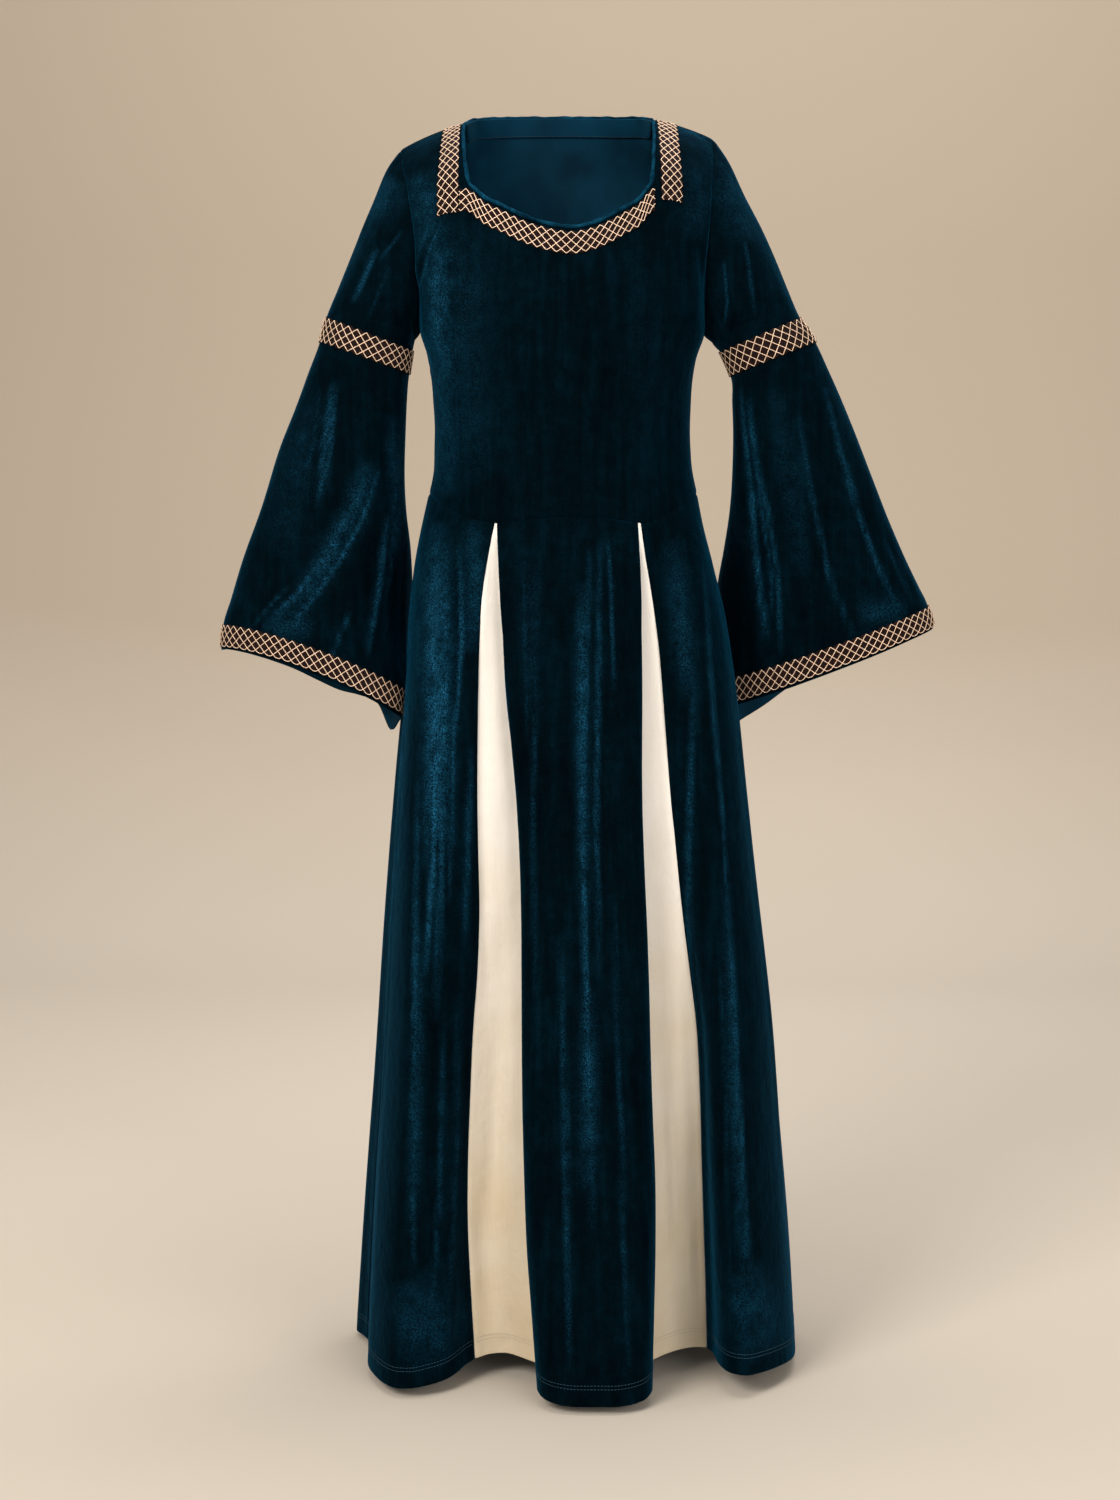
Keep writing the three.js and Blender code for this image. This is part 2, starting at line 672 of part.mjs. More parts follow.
// Points at even lengths along a closed curve between two of its keys.
function evenPoints(curve, keys, from, to, cells) {
  const steps = CURVE_STEPS * (to - from);
  const dense = [];
  for (let i = 0; i <= steps; i += 1) {
    dense.push(curve.getPoint((mix(from, to, i / steps) / keys) % 1));
  }
  const length = [0];
  for (let i = 1; i <= steps; i += 1) {
    const flat = Math.hypot(dense[i].x - dense[i - 1].x, dense[i].y - dense[i - 1].y);
    length.push(length[i - 1] + flat);
  }
  const found = [];
  let at = 0;
  for (let cell = 0; cell <= cells; cell += 1) {
    const wanted = (length[steps] * cell) / cells;
    while (at < steps - 1 && length[at + 1] < wanted) {
      at += 1;
    }
    const share = (wanted - length[at]) / (length[at + 1] - length[at]);
    found.push(dense[at].clone().lerp(dense[at + 1], THREE.MathUtils.clamp(share, 0, 1)));
  }
  return found;
}

// The columns of every skirt panel at every section of the table.
function skirtNet() {
  const net = SKIRT_PANELS.map(() => []);
  const { right, left } = godetTips();
  const tips = [-90, right, right + GODET_TIP, left - GODET_TIP, left, 90, 270];
  SKIRT_PANELS.forEach((panel, p) => {
    const ring = [];
    for (let cell = 0; cell <= panel.cells; cell += 1) {
      const angle = mix(tips[p], tips[p + 1], cell / panel.cells);
      ring.push(waistPoint(THREE.MathUtils.degToRad(angle)));
    }
    net[p].push(ring);
  });
  for (let i = 1; i < SKIRT.drop.length; i += 1) {
    const keys = skirtSection(i);
    const curve = new THREE.CatmullRomCurve3(keys, true, "centripetal");
    SKIRT_PANELS.forEach((panel, p) => {
      net[p].push(evenPoints(curve, keys.length, panel.from, panel.to, panel.cells));
    });
  }
  return net;
}

function skirtGrids() {
  const net = skirtNet();
  const last = SKIRT.drop.length - 1;
  return SKIRT_PANELS.map((panel, p) => {
    const grid = [];
    for (let row = 0; row <= SKIRT_ROWS; row += 1) {
      const share = Math.pow(row / SKIRT_ROWS, 1.25);
      const level = mix(SKIRT.drop[0], SKIRT.drop[last], share);
      const line = [];
      for (let cell = 0; cell <= panel.cells; cell += 1) {
        const xs = net[p].map((ring) => ring[cell].x);
        const ys = net[p].map((ring) => ring[cell].y);
        const hem = net[p][last][cell].z;
        const drop = mix(-net[p][0][cell].z, hem, share);
        line.push(point(read(SKIRT.drop, xs, level), read(SKIRT.drop, ys, level), drop));
      }
      grid.push(line);
    }
    return grid;
  });
}

// One piece of cloth as a grid of points on its middle surface. Rows and columns turn so that
// the outside is on the left of a column climbing the rows, unless the piece is flipped.
class Cloth {
  constructor(name, finish, wall, grid, options = {}) {
    this.name = name;
    this.finish = finish;
    this.wall = wall;
    this.grid = grid;
    this.flip = Boolean(options.flip);
    this.tube = Boolean(options.tube);
    this.absent = options.absent || (() => false);
    this.levelRow = options.levelRow;
    this.normals = null;
  }

  get rows() {
    return this.grid.length;
  }

  get columns() {
    return this.grid[0].length;
  }

  // Every cell as the four corners of its quad, turning with the outside towards the eye.
  cells() {
    const found = [];
    const wide = this.tube ? this.columns : this.columns - 1;
    for (let r = 0; r < this.rows - 1; r += 1) {
      for (let c = 0; c < wide; c += 1) {
        if (!this.absent(r, c)) {
          const next = (c + 1) % this.columns;
          const quad = [[r, c], [r, next], [r + 1, next], [r + 1, c]];
          found.push(this.flip ? [quad[1], quad[0], quad[3], quad[2]] : quad);
        }
      }
    }
    return found;
  }

  at([r, c]) {
    return this.grid[r][c];
  }

  // Whether a quad splits along the diagonal from its first corner. A laid piece asks the piece
  // under it, so that the facets of both are parallel.
  shortAcross(quad) {
    const [a, b, c, d] = quad.map(([r, c]) => (this.under ? this.under(r, c) : this.grid[r][c]));
    return a.distanceTo(c) <= b.distanceTo(d);
  }
}

function keyOf(p) {
  return [p.x, p.y, p.z].map((v) => Math.round(v * 100)).join(" ");
}

function quadNormal(a, b, c, d) {
  return c.clone().sub(a).cross(d.clone().sub(b));
}

// Gives every point its normal, taken over all the pieces that share the point, so that two
// pieces meet at a seam with one mitre.
function shareNormals(pieces) {
  const sums = new Map();
  pieces.forEach((piece) => {
    piece.cells().forEach((quad) => {
      const corners = quad.map((place) => piece.at(place));
      const normal = quadNormal(...corners).normalize();
      corners.forEach((corner) => {
        const key = keyOf(corner);
        sums.set(key, (sums.get(key) || new THREE.Vector3()).add(normal));
      });
    });
  });
  pieces.forEach((piece) => {
    piece.normals = piece.grid.map((line, r) =>
      line.map((p) => {
        const normal = (sums.get(keyOf(p)) || new THREE.Vector3(0, 0, 1)).clone();
        if (r === piece.levelRow) {
          normal.z = 0;
        }
        return normal.normalize();
      }),
    );
  });
}

// The points of a piece drawn back from each of its edges by half of the gap of a seam.
function drawnBack(piece) {
  const edges = new Map();
  const count = new Map();
  const name = (a, b) => [a, b].map(([r, c]) => r + "," + c).sort().join(" ");
  const quads = piece.cells();
  quads.forEach((quad) => {
    quad.forEach((corner, i) => {
      const key = name(corner, quad[(i + 1) % 4]);
      count.set(key, (count.get(key) || 0) + 1);
    });
  });
  quads.forEach((quad) => {
    quad.forEach((corner, i) => {
      const next = quad[(i + 1) % 4];
      if (count.get(name(corner, next)) === 1) {
        [corner, next].forEach((place) => {
          const normal = piece.normals[place[0]][place[1]];
          const along = piece.at(next).clone().sub(piece.at(corner));
          const inward = normal.clone().cross(along).normalize();
          const key = place.join(",");
          edges.set(key, [...(edges.get(key) || []), inward]);
        });
      }
    });
  });
  return piece.grid.map((line, r) =>
    line.map((p, c) => {
      const inwards = edges.get(r + "," + c);
      if (!inwards) {
        return p.clone();
      }
      const sum = inwards.reduce((total, v) => total.add(v), new THREE.Vector3());
      const straight = inwards.every((v) => v.dot(inwards[0]) > STRAIGHT);
      const reach = straight ? SEAM_GAP / 2 / inwards.length : SEAM_GAP / 2;
      return p.clone().addScaledVector(sum, reach);
    }),
  );
}

// The closed wall of a piece: its outside, its inside and a strip along every edge.
function wallGeometry(piece) {
  const middle = drawnBack(piece);
  const vertices = [];
  const index = [];
  const number = (side, [r, c]) => (side * piece.rows + r) * piece.columns + c;
  [1, -1].forEach((side) => {
    middle.forEach((line, r) => {
      line.forEach((p, c) => {
        const q = p.clone().addScaledVector(piece.normals[r][c], (side * piece.wall) / 2);
        vertices.push(q.x, q.y, q.z);
      });
    });
  });
  const quads = piece.cells();
  const open = new Map();
  quads.forEach((quad) => {
    const outer = quad.map((place) => number(0, place));
    const inner = quad.map((place) => number(1, place));
    const [a, b, c, d] = piece.shortAcross(quad) ? [0, 1, 2, 3] : [1, 2, 3, 0];
    index.push(outer[a], outer[b], outer[c], outer[a], outer[c], outer[d]);
    index.push(inner[a], inner[c], inner[b], inner[a], inner[d], inner[c]);
    quad.forEach((place, i) => {
      const next = quad[(i + 1) % 4];
      const back = next.join(",") + " " + place.join(",");
      if (open.has(back)) {
        open.delete(back);
      } else {
        open.set(place.join(",") + " " + next.join(","), [place, next]);
      }
    });
  });
  // The two pieces at a seam split its strip along the same diagonal.
  open.forEach(([a, b]) => {
    const [a0, b0, a1, b1] = [number(0, a), number(0, b), number(1, a), number(1, b)];
    if (piece.at(a).z < piece.at(b).z) {
      index.push(a0, a1, b1, a0, b1, b0);
    } else {
      index.push(a0, a1, b0, a1, b1, b0);
    }
  });
  const geometry = new THREE.BufferGeometry();
  geometry.setAttribute("position", new THREE.Float32BufferAttribute(vertices, 3));
  geometry.setIndex(index);
  const used = geometry.toNonIndexed();
  used.computeVertexNormals();
  return used;
}

// A piece that lies on another one: the same points moved out by both half walls and a gap.
function laidOn(name, finish, wall, base, rows, columns, outward) {
  const reach = outward * (base.wall / 2 + LAY_GAP + wall / 2);
  const pick = (from) => rows.map((r) => columns.map((c) => from[r][c]));
  const normals = pick(base.normals);
  const grid = pick(base.grid).map((line, r) =>
    line.map((p, c) => p.clone().addScaledVector(normals[r][c], reach)),
  );
  const piece = new Cloth(name, finish, wall, grid, { flip: base.flip, tube: base.tube });
  piece.normals = normals;
  piece.under = (r, c) => base.grid[rows[r]][columns[c]];
  return piece;
}

function range(from, to) {
  return Array.from({ length: to - from + 1 }, (_, i) => from + i);
}

function bodicePieces() {
  const grid = (place) =>
    range(0, SHOULDER_ROW).map((row) => range(0, BODICE_CELLS).map((column) => place(column, row)));
  const neckHole = (row, column) => row >= NECK_ROW && column >= RIGHT_NECK && column < LEFT_NECK;
  const frontGrid = grid((column, row) =>
    row > NECK_ROW && column > RIGHT_NECK && column < LEFT_NECK
      ? new THREE.Vector3(column, row, 1000)
      : frontPoint(column, row),
  );
  const front = new Cloth("bodice_front", "velvet", VELVET_WALL, frontGrid, {
    absent: neckHole,
    levelRow: 0,
  });
  const back = new Cloth("bodice_back", "velvet", VELVET_WALL, grid(backPoint), {
    flip: true,
    levelRow: 0,
  });
  return { front, back };
}

function sleevePieces(left) {
  const turns = SHOULDER_ROW - TORSO_CELLS;
  const side = left ? "left" : "right";
  const lines = range(0, RIGHT_SLEEVE.half.length - 1).map((row) =>
    range(0, 2 * turns - 1).map((column) => sleevePoint(column, row, left)),
  );
  const options = { tube: true, flip: left };
  const upper = lines.slice(0, SLEEVE_SEAM + 1);
  const lower = lines.slice(SLEEVE_SEAM);
  return {
    whole: new Cloth("sleeve_" + side, "velvet", VELVET_WALL, lines, options),
    upper: new Cloth("upper_sleeve_" + side, "velvet", VELVET_WALL, upper, options),
    lower: new Cloth("lower_sleeve_" + side, "velvet", VELVET_WALL, lower, options),
  };
}

function skirtPieces() {
  return skirtGrids().map((grid, p) => {
    const cream = SKIRT_PANELS[p].name.startsWith("godet");
    const wall = cream ? CREAM_WALL : VELVET_WALL;
    const finish = cream ? "cream" : "velvet";
    return new Cloth(SKIRT_PANELS[p].name, finish, wall, grid, { flip: true, levelRow: 0 });
  });
}

function trimPieces(front, back, sleeves) {
  const bandRows = [BAND_ROW, MARGIN_ROW];
  const bandColumns = range(RIGHT_NECK - 1, LEFT_NECK + 1);
  const strapRows = [BAND_ROW, ...range(MARGIN_ROW, SHOULDER_ROW)];
  const right = range(RIGHT_NECK - 1 - STRAP_TRIM_COLUMNS, RIGHT_NECK - 1);
  const left = range(LEFT_NECK + 1, LEFT_NECK + 1 + STRAP_TRIM_COLUMNS);
  const facing = [SHOULDER_ROW - 1, SHOULDER_ROW];
  const around = range(0, sleeves[0].whole.columns - 1);
  const trims = [
    laidOn("neck_trim", "trim", TRIM_WALL, front, bandRows, bandColumns, 1),
    laidOn("strap_trim_right", "trim", TRIM_WALL, front, strapRows, right, 1),
    laidOn("strap_trim_left", "trim", TRIM_WALL, front, strapRows, left, 1),
    laidOn("back_neck_facing", "velvet", FACING_WALL, back, facing, range(RIGHT_NECK, LEFT_NECK), -1),
  ];
  sleeves.forEach(({ whole }) => {
    const side = whole.name.replace("sleeve_", "");
    const band = range(BAND_TOP, BAND_FOOT);
    const hem = range(HEM_TRIM_TOP, HEM_TRIM_FOOT);
    trims.push(laidOn("arm_band_" + side, "trim", TRIM_WALL, whole, band, around, 1));
    trims.push(laidOn("hem_trim_" + side, "trim", TRIM_WALL, whole, hem, around, 1));
  });
  return trims;
}

function build() {
  const { front, back } = bodicePieces();
  const sleeves = [sleevePieces(false), sleevePieces(true)];
  const skirt = skirtPieces();
  const sewn = [front, back, ...sleeves.flatMap((s) => [s.upper, s.lower]), ...skirt];
  shareNormals(sewn);
  sleeves.forEach(({ whole, upper, lower }) => {
    whole.normals = [...upper.normals, ...lower.normals.slice(1)];
  });
  const gown = new THREE.Group();
  gown.name = "gown";
  [...sewn, ...trimPieces(front, back, sleeves)].forEach((piece) => {
    const mesh = new THREE.Mesh(wallGeometry(piece), FINISHES[piece.finish].clone());
    mesh.name = piece.name;
    gown.add(mesh);
  });
  return gown;
}

export default build();
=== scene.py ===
"""Looks of a medieval gown: pile velvet panels, ivory godets and a raised lattice braid.

Lengths are millimetres until a mesh is made. X runs to the wearer's left, the front faces -Y and
Z is up. A drop is a distance below the origin. Left and right are the wearer's.
"""

import logging
import math
from collections.abc import Callable, Sequence
from dataclasses import dataclass, field
from enum import Enum
from typing import Any, TypeVar

import bpy
import numpy as np
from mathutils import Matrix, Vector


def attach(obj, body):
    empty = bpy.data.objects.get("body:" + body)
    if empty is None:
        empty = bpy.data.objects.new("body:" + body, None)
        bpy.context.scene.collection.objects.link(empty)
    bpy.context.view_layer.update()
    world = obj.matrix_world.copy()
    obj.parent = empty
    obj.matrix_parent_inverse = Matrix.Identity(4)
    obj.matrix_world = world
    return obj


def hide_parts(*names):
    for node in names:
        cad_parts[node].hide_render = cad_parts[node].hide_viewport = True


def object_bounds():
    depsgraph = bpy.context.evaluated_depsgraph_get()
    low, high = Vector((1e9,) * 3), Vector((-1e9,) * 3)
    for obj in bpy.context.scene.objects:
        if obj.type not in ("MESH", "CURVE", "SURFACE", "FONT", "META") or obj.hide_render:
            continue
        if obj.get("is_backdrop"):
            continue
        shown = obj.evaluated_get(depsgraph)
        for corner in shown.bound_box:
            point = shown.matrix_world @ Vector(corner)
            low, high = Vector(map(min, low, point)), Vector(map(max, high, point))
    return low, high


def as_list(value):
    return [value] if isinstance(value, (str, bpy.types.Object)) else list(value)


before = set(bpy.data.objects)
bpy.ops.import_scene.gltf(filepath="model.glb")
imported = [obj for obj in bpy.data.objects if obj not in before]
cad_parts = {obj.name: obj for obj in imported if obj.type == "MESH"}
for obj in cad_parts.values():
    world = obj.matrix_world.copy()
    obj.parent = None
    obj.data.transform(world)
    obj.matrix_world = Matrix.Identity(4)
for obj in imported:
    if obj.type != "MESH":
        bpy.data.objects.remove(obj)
CAD_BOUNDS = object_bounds()

log = logging.getLogger("gown")

MM = 0.001
TINY = 1e-4
BODY = "root"

Table = dict[str, np.ndarray]
Grid = np.ndarray
Key = tuple[float, float, float]
Mesh = tuple[np.ndarray, np.ndarray]
Made = bpy.types.Object
Material = bpy.types.Material
Value = TypeVar("Value", float, np.ndarray)


def table(names: str, rows: Sequence[Sequence[float]]) -> Table:
    """Puts the columns of a table under their names.

    Args:
        names: The names of the columns, with spaces between them.
        rows: The rows, each with a number for every column.

    Returns:
        Each column as an array under its name.
    """
    return dict(zip(names.split(), np.array(rows, dtype=float).T))


VELVET_WALL = 1.8
CREAM_WALL = 1.3
TRIM_WALL = 1.2
FACING_WALL = 1.2
LAY_GAP = 0.35

# The size of a cell of the fine surfaces.
CELL = 4.0

# Sewn edges sink by a little over a short width, which takes cells of these distances.
SEAM_DEEP = 1.1
SEAM_WIDE = 2.2
SEAM_CELLS = (0.9, 2.2, 4.2)

# The share of a crease's width over which a highlight is painted along its crest, the height from
# which the painted highlight starts and how much higher it is painted fully.
CREST = 0.3
CREST_LEAST = 1.6
CREST_FULL = 3.0

# How soon a crease shows on cloth that turns towards its side, and how softly its ends run out.
TURN_GAIN = 1.6
TAPER = 0.6

# How much less the ripples of hanging cloth run up and down than across.
UPRIGHT = 0.45

# The roll of pile along the neck edge: its cells and half sizes.
ROLL_STEP = 2.4
ROLL_SIDES = 8
ROLL_WIDE = 2.1
ROLL_HIGH = 1.6

# Its gathers: their lengths, how far they lift the roll, the shares by which they widen and
# flatten it, and how often its line is smoothed.
ROLL_WAVES = (17.0, 29.0, 43.0)
ROLL_RISE = 0.5
ROLL_GATHER = 0.7
ROLL_SWELL = 0.22
ROLL_SINK = 0.2
ROLL_SMOOTH = 3

# Stitches: their length and pitch, the half sizes of their thread, and how high it stands at
# shares of a stitch, with its ends in the cloth.
STITCH = 2.8
STITCH_PITCH = 1.35 * STITCH
STITCH_WIDE = 0.28
STITCH_HIGH = 0.22
STITCH_SHARES = np.array([0, 0.18, 0.5, 0.82, 1])
STITCH_RISES = np.array([-0.25, 0.12, 0.22, 0.12, -0.25])
THREAD_SIDES = 6

# The height of the hem's rows of stitches and the gap between twin rows, then the distance of
# the facing's row from its edge and from the middle of the back.
HEM_STITCH = 19.0
TWIN_GAP = 4.0
FACING_STITCH = 2.5
FACING_REACH = 3.2

TORSO_CELLS = 7
CHEST_CELLS = 6
BAND_ROW = TORSO_CELLS + CHEST_CELLS
MARGIN_ROW = BAND_ROW + 1
NECK_ROW = BAND_ROW + 2
STRAP_CELLS = 4
SHOULDER_ROW = NECK_ROW + STRAP_CELLS
STRAP_COLUMNS = 6
NECK_CELLS = 12
TIP_COLUMN = 8
RIGHT_NECK = STRAP_COLUMNS
LEFT_NECK = STRAP_COLUMNS + NECK_CELLS
BODICE_CELLS = LEFT_NECK + STRAP_COLUMNS
STRAP_TRIM_COLUMNS = 2

# The row at which the left strap's braid ends, and how far the neck's runs past the left corner.
LEFT_STRAP_FOOT = BAND_ROW + 0.5
NECK_TRIM_PAST = 0.6

NECK_MIDDLE = 13.0
NECK_MARGIN = 5.0
NECK_MITRE = 15.0
NECK_BAND = 26.0
SIDE_Y = 5.0
STRAP_CROWN = 0.55
STRAP_ROLL = 0.7
BACK_CROWN = 0.75
BACK_ROLL = 0.95
SHOULDER_ARCH = 3.0
BACK_NECK_RISE = 12.5
BACK_NECK_DEPTH = 78.0
BACK_NECK_ROUND = 0.62
BACK_NECK_EVEN = 0.55

# The neck end of the right shoulder seam lies lower than that of the left.
RIGHT_SHOULDER_DROP = 4.0

# Drops of the back on the centre line: the foot of its strap rows and its waist.
BACK_STRAP_FOOT = 80.0
BACK_WAIST = 424.0

# The row from which columns leave the angles of the waist, and the shares of the half width from
# which the rows of the chest and of the back bend down to the armhole.
LEVEL_ROW = 2
FRONT_LEVEL = 0.72
BACK_LEVEL = 0.6

# Sections of the bodice: half widths, the front and the back on the centre line, and how far
# each side of the section turns round towards the edge, in degrees.
TORSO = table("drop right left front back turn", [
    [80, 171, 171, -99, 101, 68],
    [98, 169, 170, -104, 103, 69],
    [129, 165, 168, -111, 105, 71],
    [162, 162, 165, -118, 106, 75],
    [203, 160, 164, -124, 105, 82],
    [238, 160, 165, -127, 102, 89],
    [258, 153, 158, -127, 98, 90],
    [292, 146, 151, -124, 92, 90],
    [343, 143, 148, -117, 85, 90],
    [395, 145, 151.5, -115, 85, 90],
    [452, 150, 157, -118, 90, 90],
])

# The armhole from the armpit to the shoulder tip: drop and distance out on each side, then the
# depth of its front and of its back edge.
ARMHOLE = table("rightDrop right leftDrop left front back", [
    [238, 160, 241, 165, 5, 5],
    [222, 160, 223, 164.5, -18, 30],
    [203, 160, 203, 164, -31, 46],
    [183, 161, 182, 164, -39, 56],
    [162, 162, 161, 165, -44, 62],
    [142, 163.5, 141, 167, -47, 65],
    [124, 165, 122, 168.5, -48, 66],
    [104, 168, 100, 170, -47, 64],
    [98, 169, 93, 170.5, -46, 62],
    [82, 172, 75, 171.5, -41, 55],
    [66, 175.5, 57, 172.5, -32, 43],
    [49, 179, 39, 173.5, -17, 24],
    [34, 181, 22, 174, 0, 0],
])

# Columns of a strap from the armhole to the neck: at the neck corner and at the shoulder seam.
STRAP = table("corner rightTop leftTop", [
    [1, 181, 174],
    [152, 164, 160],
    [145, 147, 146],
    [136, 131, 132],
    [124, 121.5, 120],
    [111, 112, 109],
    [101, 109, 106],
])

# The neck edge across the front, a rounded V.
NECK = table("x drop", [
    [-170, 92],
    [-136, 80],
    [-101, 80.5],
    [-92, 90],
    [-65, 104],
    [-28, 121],
    [13, 129],
    [42, 122],
    [72, 106],
    [90, 95],
    [101, 80.5],
    [136, 80],
    [170, 86],
])

# The waist seam across the front dips at the tip of each godet.
WAIST = table("x drop", [
    [-150, 422],
    [-136, 432],
    [-118, 442],
    [-101, 449],
    [-72, 454],
    [-33, 450],
    [6, 447],
    [44, 448],
    [89, 454],
    [108, 449],
    [125, 442],
    [140, 433],
    [157, 422],
])

# Sleeve sections from the armhole down: the outer and the inner end of each oval, half its
# depth, how far its middle lies back, how much its front rises, the share of its back's hang,
# and how far its inner end lies back.
SLEEVE_COLUMNS = "outX outDrop inX inDrop half back rise hang tuck"
RIGHT_SLEEVE = table(SLEEVE_COLUMNS, [
    [181, 34, 160, 238, 57, 8, 0, 0, 0],
    [195, 54, 167, 246, 58, 8, 0, 0, 0],
    [210, 89, 167.8, 248.5, 58, 8, 0, 0, 0],
    [226, 123, 168.4, 251, 57, 7, 0, 0, 0],
    [240, 157, 169, 253.5, 55, 7, 0, 0, 0],
    [253, 190, 169.5, 256, 52, 6, 0, 0, 0],
    [266, 221, 170, 258.5, 49, 6, 0, 0, 0],
    [270.5, 236, 172, 272, 49, 6, 0, 0, 0],
    [274.5, 250, 174, 286, 49, 6, 0, 0, 0],
    [290, 288, 177, 318, 50, 6, 0, 0, 0],
    [305, 328, 179.5, 355, 51, 6, 0, 0.05, 0],
    [320, 368, 180.5, 395, 53, 7, 1, 0.08, 3],
    [335, 412, 179, 440, 55, 9, 3, 0.15, 14],
    [350, 456, 175, 490, 57, 11, 6, 0.3, 34],
    [366, 500, 174, 545, 60, 14, 10, 0.5, 42],
    [381, 543, 180.5, 600, 62, 17, 14, 0.7, 24],
    [391, 574, 182.5, 648, 64, 20, 17, 0.88, -10],
    [393.5, 600, 183.5, 676, 64, 22, 18, 1, -28],
    [393.5, 603, 183.5, 680, 64, 22, 18, 1, -28],
])
LEFT_SLEEVE = table(SLEEVE_COLUMNS, [
    [174, 22, 165, 241, 57, 8, 0, 0, 0],
    [192, 48, 174, 248, 58, 8, 0, 0, 0],
    [210, 86, 176, 250.5, 58, 9, 0, 0, 0],
    [229, 122, 178, 253, 57, 9, 0, 0, 0],
    [246, 157, 180, 255, 55, 9, 0, 0, 0],
    [261, 190, 182, 257, 52, 9, 0, 0, 0],
    [275, 221, 184, 259, 49, 9, 0, 0, 0],
    [285.5, 236, 191, 273, 49, 10, 0, 0, 0],
    [293, 250, 197, 288, 49, 11, 0, 0, 0],
    [310, 288, 199, 318, 50, 14, 0, 0.04, 0],
    [328, 328, 200.5, 355, 51, 18, 0, 0.08, 0],
    [346, 368, 200, 395, 53, 22, 0, 0.12, 4],
    [365, 412, 198, 440, 55, 27, 0, 0.2, 14],
    [383, 456, 193, 490, 57, 32, 0, 0.32, 31],
    [402, 499, 186, 540, 60, 38, 0, 0.46, 45],
    [418, 531, 182, 592, 62, 44, 0, 0.64, 49],
    [429.5, 553, 181, 645, 64, 50, 0, 0.85, 46],
    [437, 576, 181, 676, 64, 52, 0, 1, 45],
    [437, 579, 181, 680, 64, 52, 0, 1, 45],
])

# How far the back of the hem hangs, from the outer end of the sleeve at 0 to the inner at 1.
BACK_HANG = table("inward right left", [
    [0, 0, 0],
    [0.4, 4, 0],
    [0.6, 9, 9],
    [0.75, 4, 22],
    [0.85, 2, 28],
    [0.93, 25, 33],
    [1, 0, 0],
])
BACK_RISE = 0.35
HEM_BOW = 1.3
TUCK_BEND = 3
BAND_TOP = 6
SLEEVE_SEAM = 7
BAND_FOOT = 8
HEM_TRIM_TOP = 16
HEM_TRIM_FOOT = 17

# Sections of the skirt: distances of its seams and folds from the centre line, and their depths.
SKIRT = table("drop rSide rFold rGodet rCentre lCentre lGodet lFold lSide", [
    [450, 150, 118, 73, 70.6, 87.6, 90, 126, 157],
    [500, 161.5, 127, 83, 70, 90, 97, 134, 167],
    [560, 171, 135, 89, 66, 90, 107, 143, 184],
    [640, 176, 141, 91.5, 60, 89.5, 115, 152, 198],
    [760, 186, 148, 93, 50, 92, 125, 164, 212],
    [900, 195, 156, 91, 44, 97, 139, 177, 230],
    [1050, 205, 162, 100, 43, 101, 157, 188, 248],
    [1220, 218, 170, 105, 38, 107, 164, 195, 264],
    [1415, 229, 178, 97, 25, 104, 171, 203, 279],
])
SKIRT_DEPTH = table("rFold rSeam rGodet rTuck centre lTuck lGodet lSeam lFold back tuck", [
    [-73, -103, -103, -103.5, -118, -102, -101, -101, -70, 90, 0],
    [-88, -105, -104, -107, -123, -105, -103, -103, -86, 96, 1],
    [-99, -107, -105, -111, -130, -109, -104, -105, -97, 104, 3],
    [-108, -109, -104, -115, -140, -113, -103, -105, -106, 116, 6],
    [-118, -111, -103, -120, -153, -117, -101, -103, -116, 134, 9],
    [-130, -113, -101, -126, -168, -121, -97, -97, -128, 152, 11],
    [-141, -115, -99, -132, -185, -125, -92, -89, -142, 170, 13],
    [-152, -113, -97, -139, -204, -129, -86, -79, -157, 188, 14],
    [-173, -108, -96, -147, -228, -134, -80, -67, -176, 206, 15],
])
SIDE_CELLS = 2 * TIP_COLUMN
GODET_CELLS = 6
CENTRE_CELLS = 2 * (BODICE_CELLS - 2 * TIP_COLUMN)
BACK_CELLS = 36
SKIRT_ROWS = 15
GODET_TIP = 1.2
HEM_SIDE_Y = 14.0
CURVE_STEPS = 24
BACK_ROUND = 0.85
FOLD_GROWTH = 1.2
ROW_SPREAD = 1.25

# The drop of the hem round the skirt.
HEM = {
    "side": 1424,
    "rightFold": 1422,
    "leftFold": 1406,
    "seam": 1408,
    "godet": 1405,
    "tuck": 1411,
    "bulge": 1417,
    "centre": 1424,
    "back": 1427,
}

# The points of a section between its seams and folds: the share of the way from one to the next
# across, in depth and in the drop of the hem.
WAYS = {
    "side": (0.24, 0.62, 0.6),
    "fold": (0.58, 0.26, 0.35),
    "godet": (0.42, 0, 0),
    "edge": (1, 0.66, 0.5),
    "tuck": (0, 0.05, 0),
    "bulge": (0, 0.42, 0),
    "shoulder": (0.17, 0.84, 0.6),
    "front": (0.55, 0.98, 1),
}

# Folds of the back of the skirt: where each stands round the back and how far out at the hem.
BACK_FOLDS = table("at out", [
    [0.0, 0],
    [0.09, 7],
    [0.17, -9],
    [0.26, 15],
    [0.35, -14],
    [0.43, 13],
    [0.51, -12],
    [0.6, 17],
    [0.69, -13],
    [0.77, 11],
    [0.84, -10],
    [0.93, 21],
    [1.0, 0],
])


def mix(a: Value, b: Value, t: Value) -> Value:
    """Goes from a to b by the share t."""
    return a + (b - a) * t


def smoothstep(x: float, low: float, high: float) -> float:
    """Climbs softly from 0 at low to 1 at high."""
    t = np.clip((x - low) / (high - low), 0, 1)
    return t * t * (3 - 2 * t)


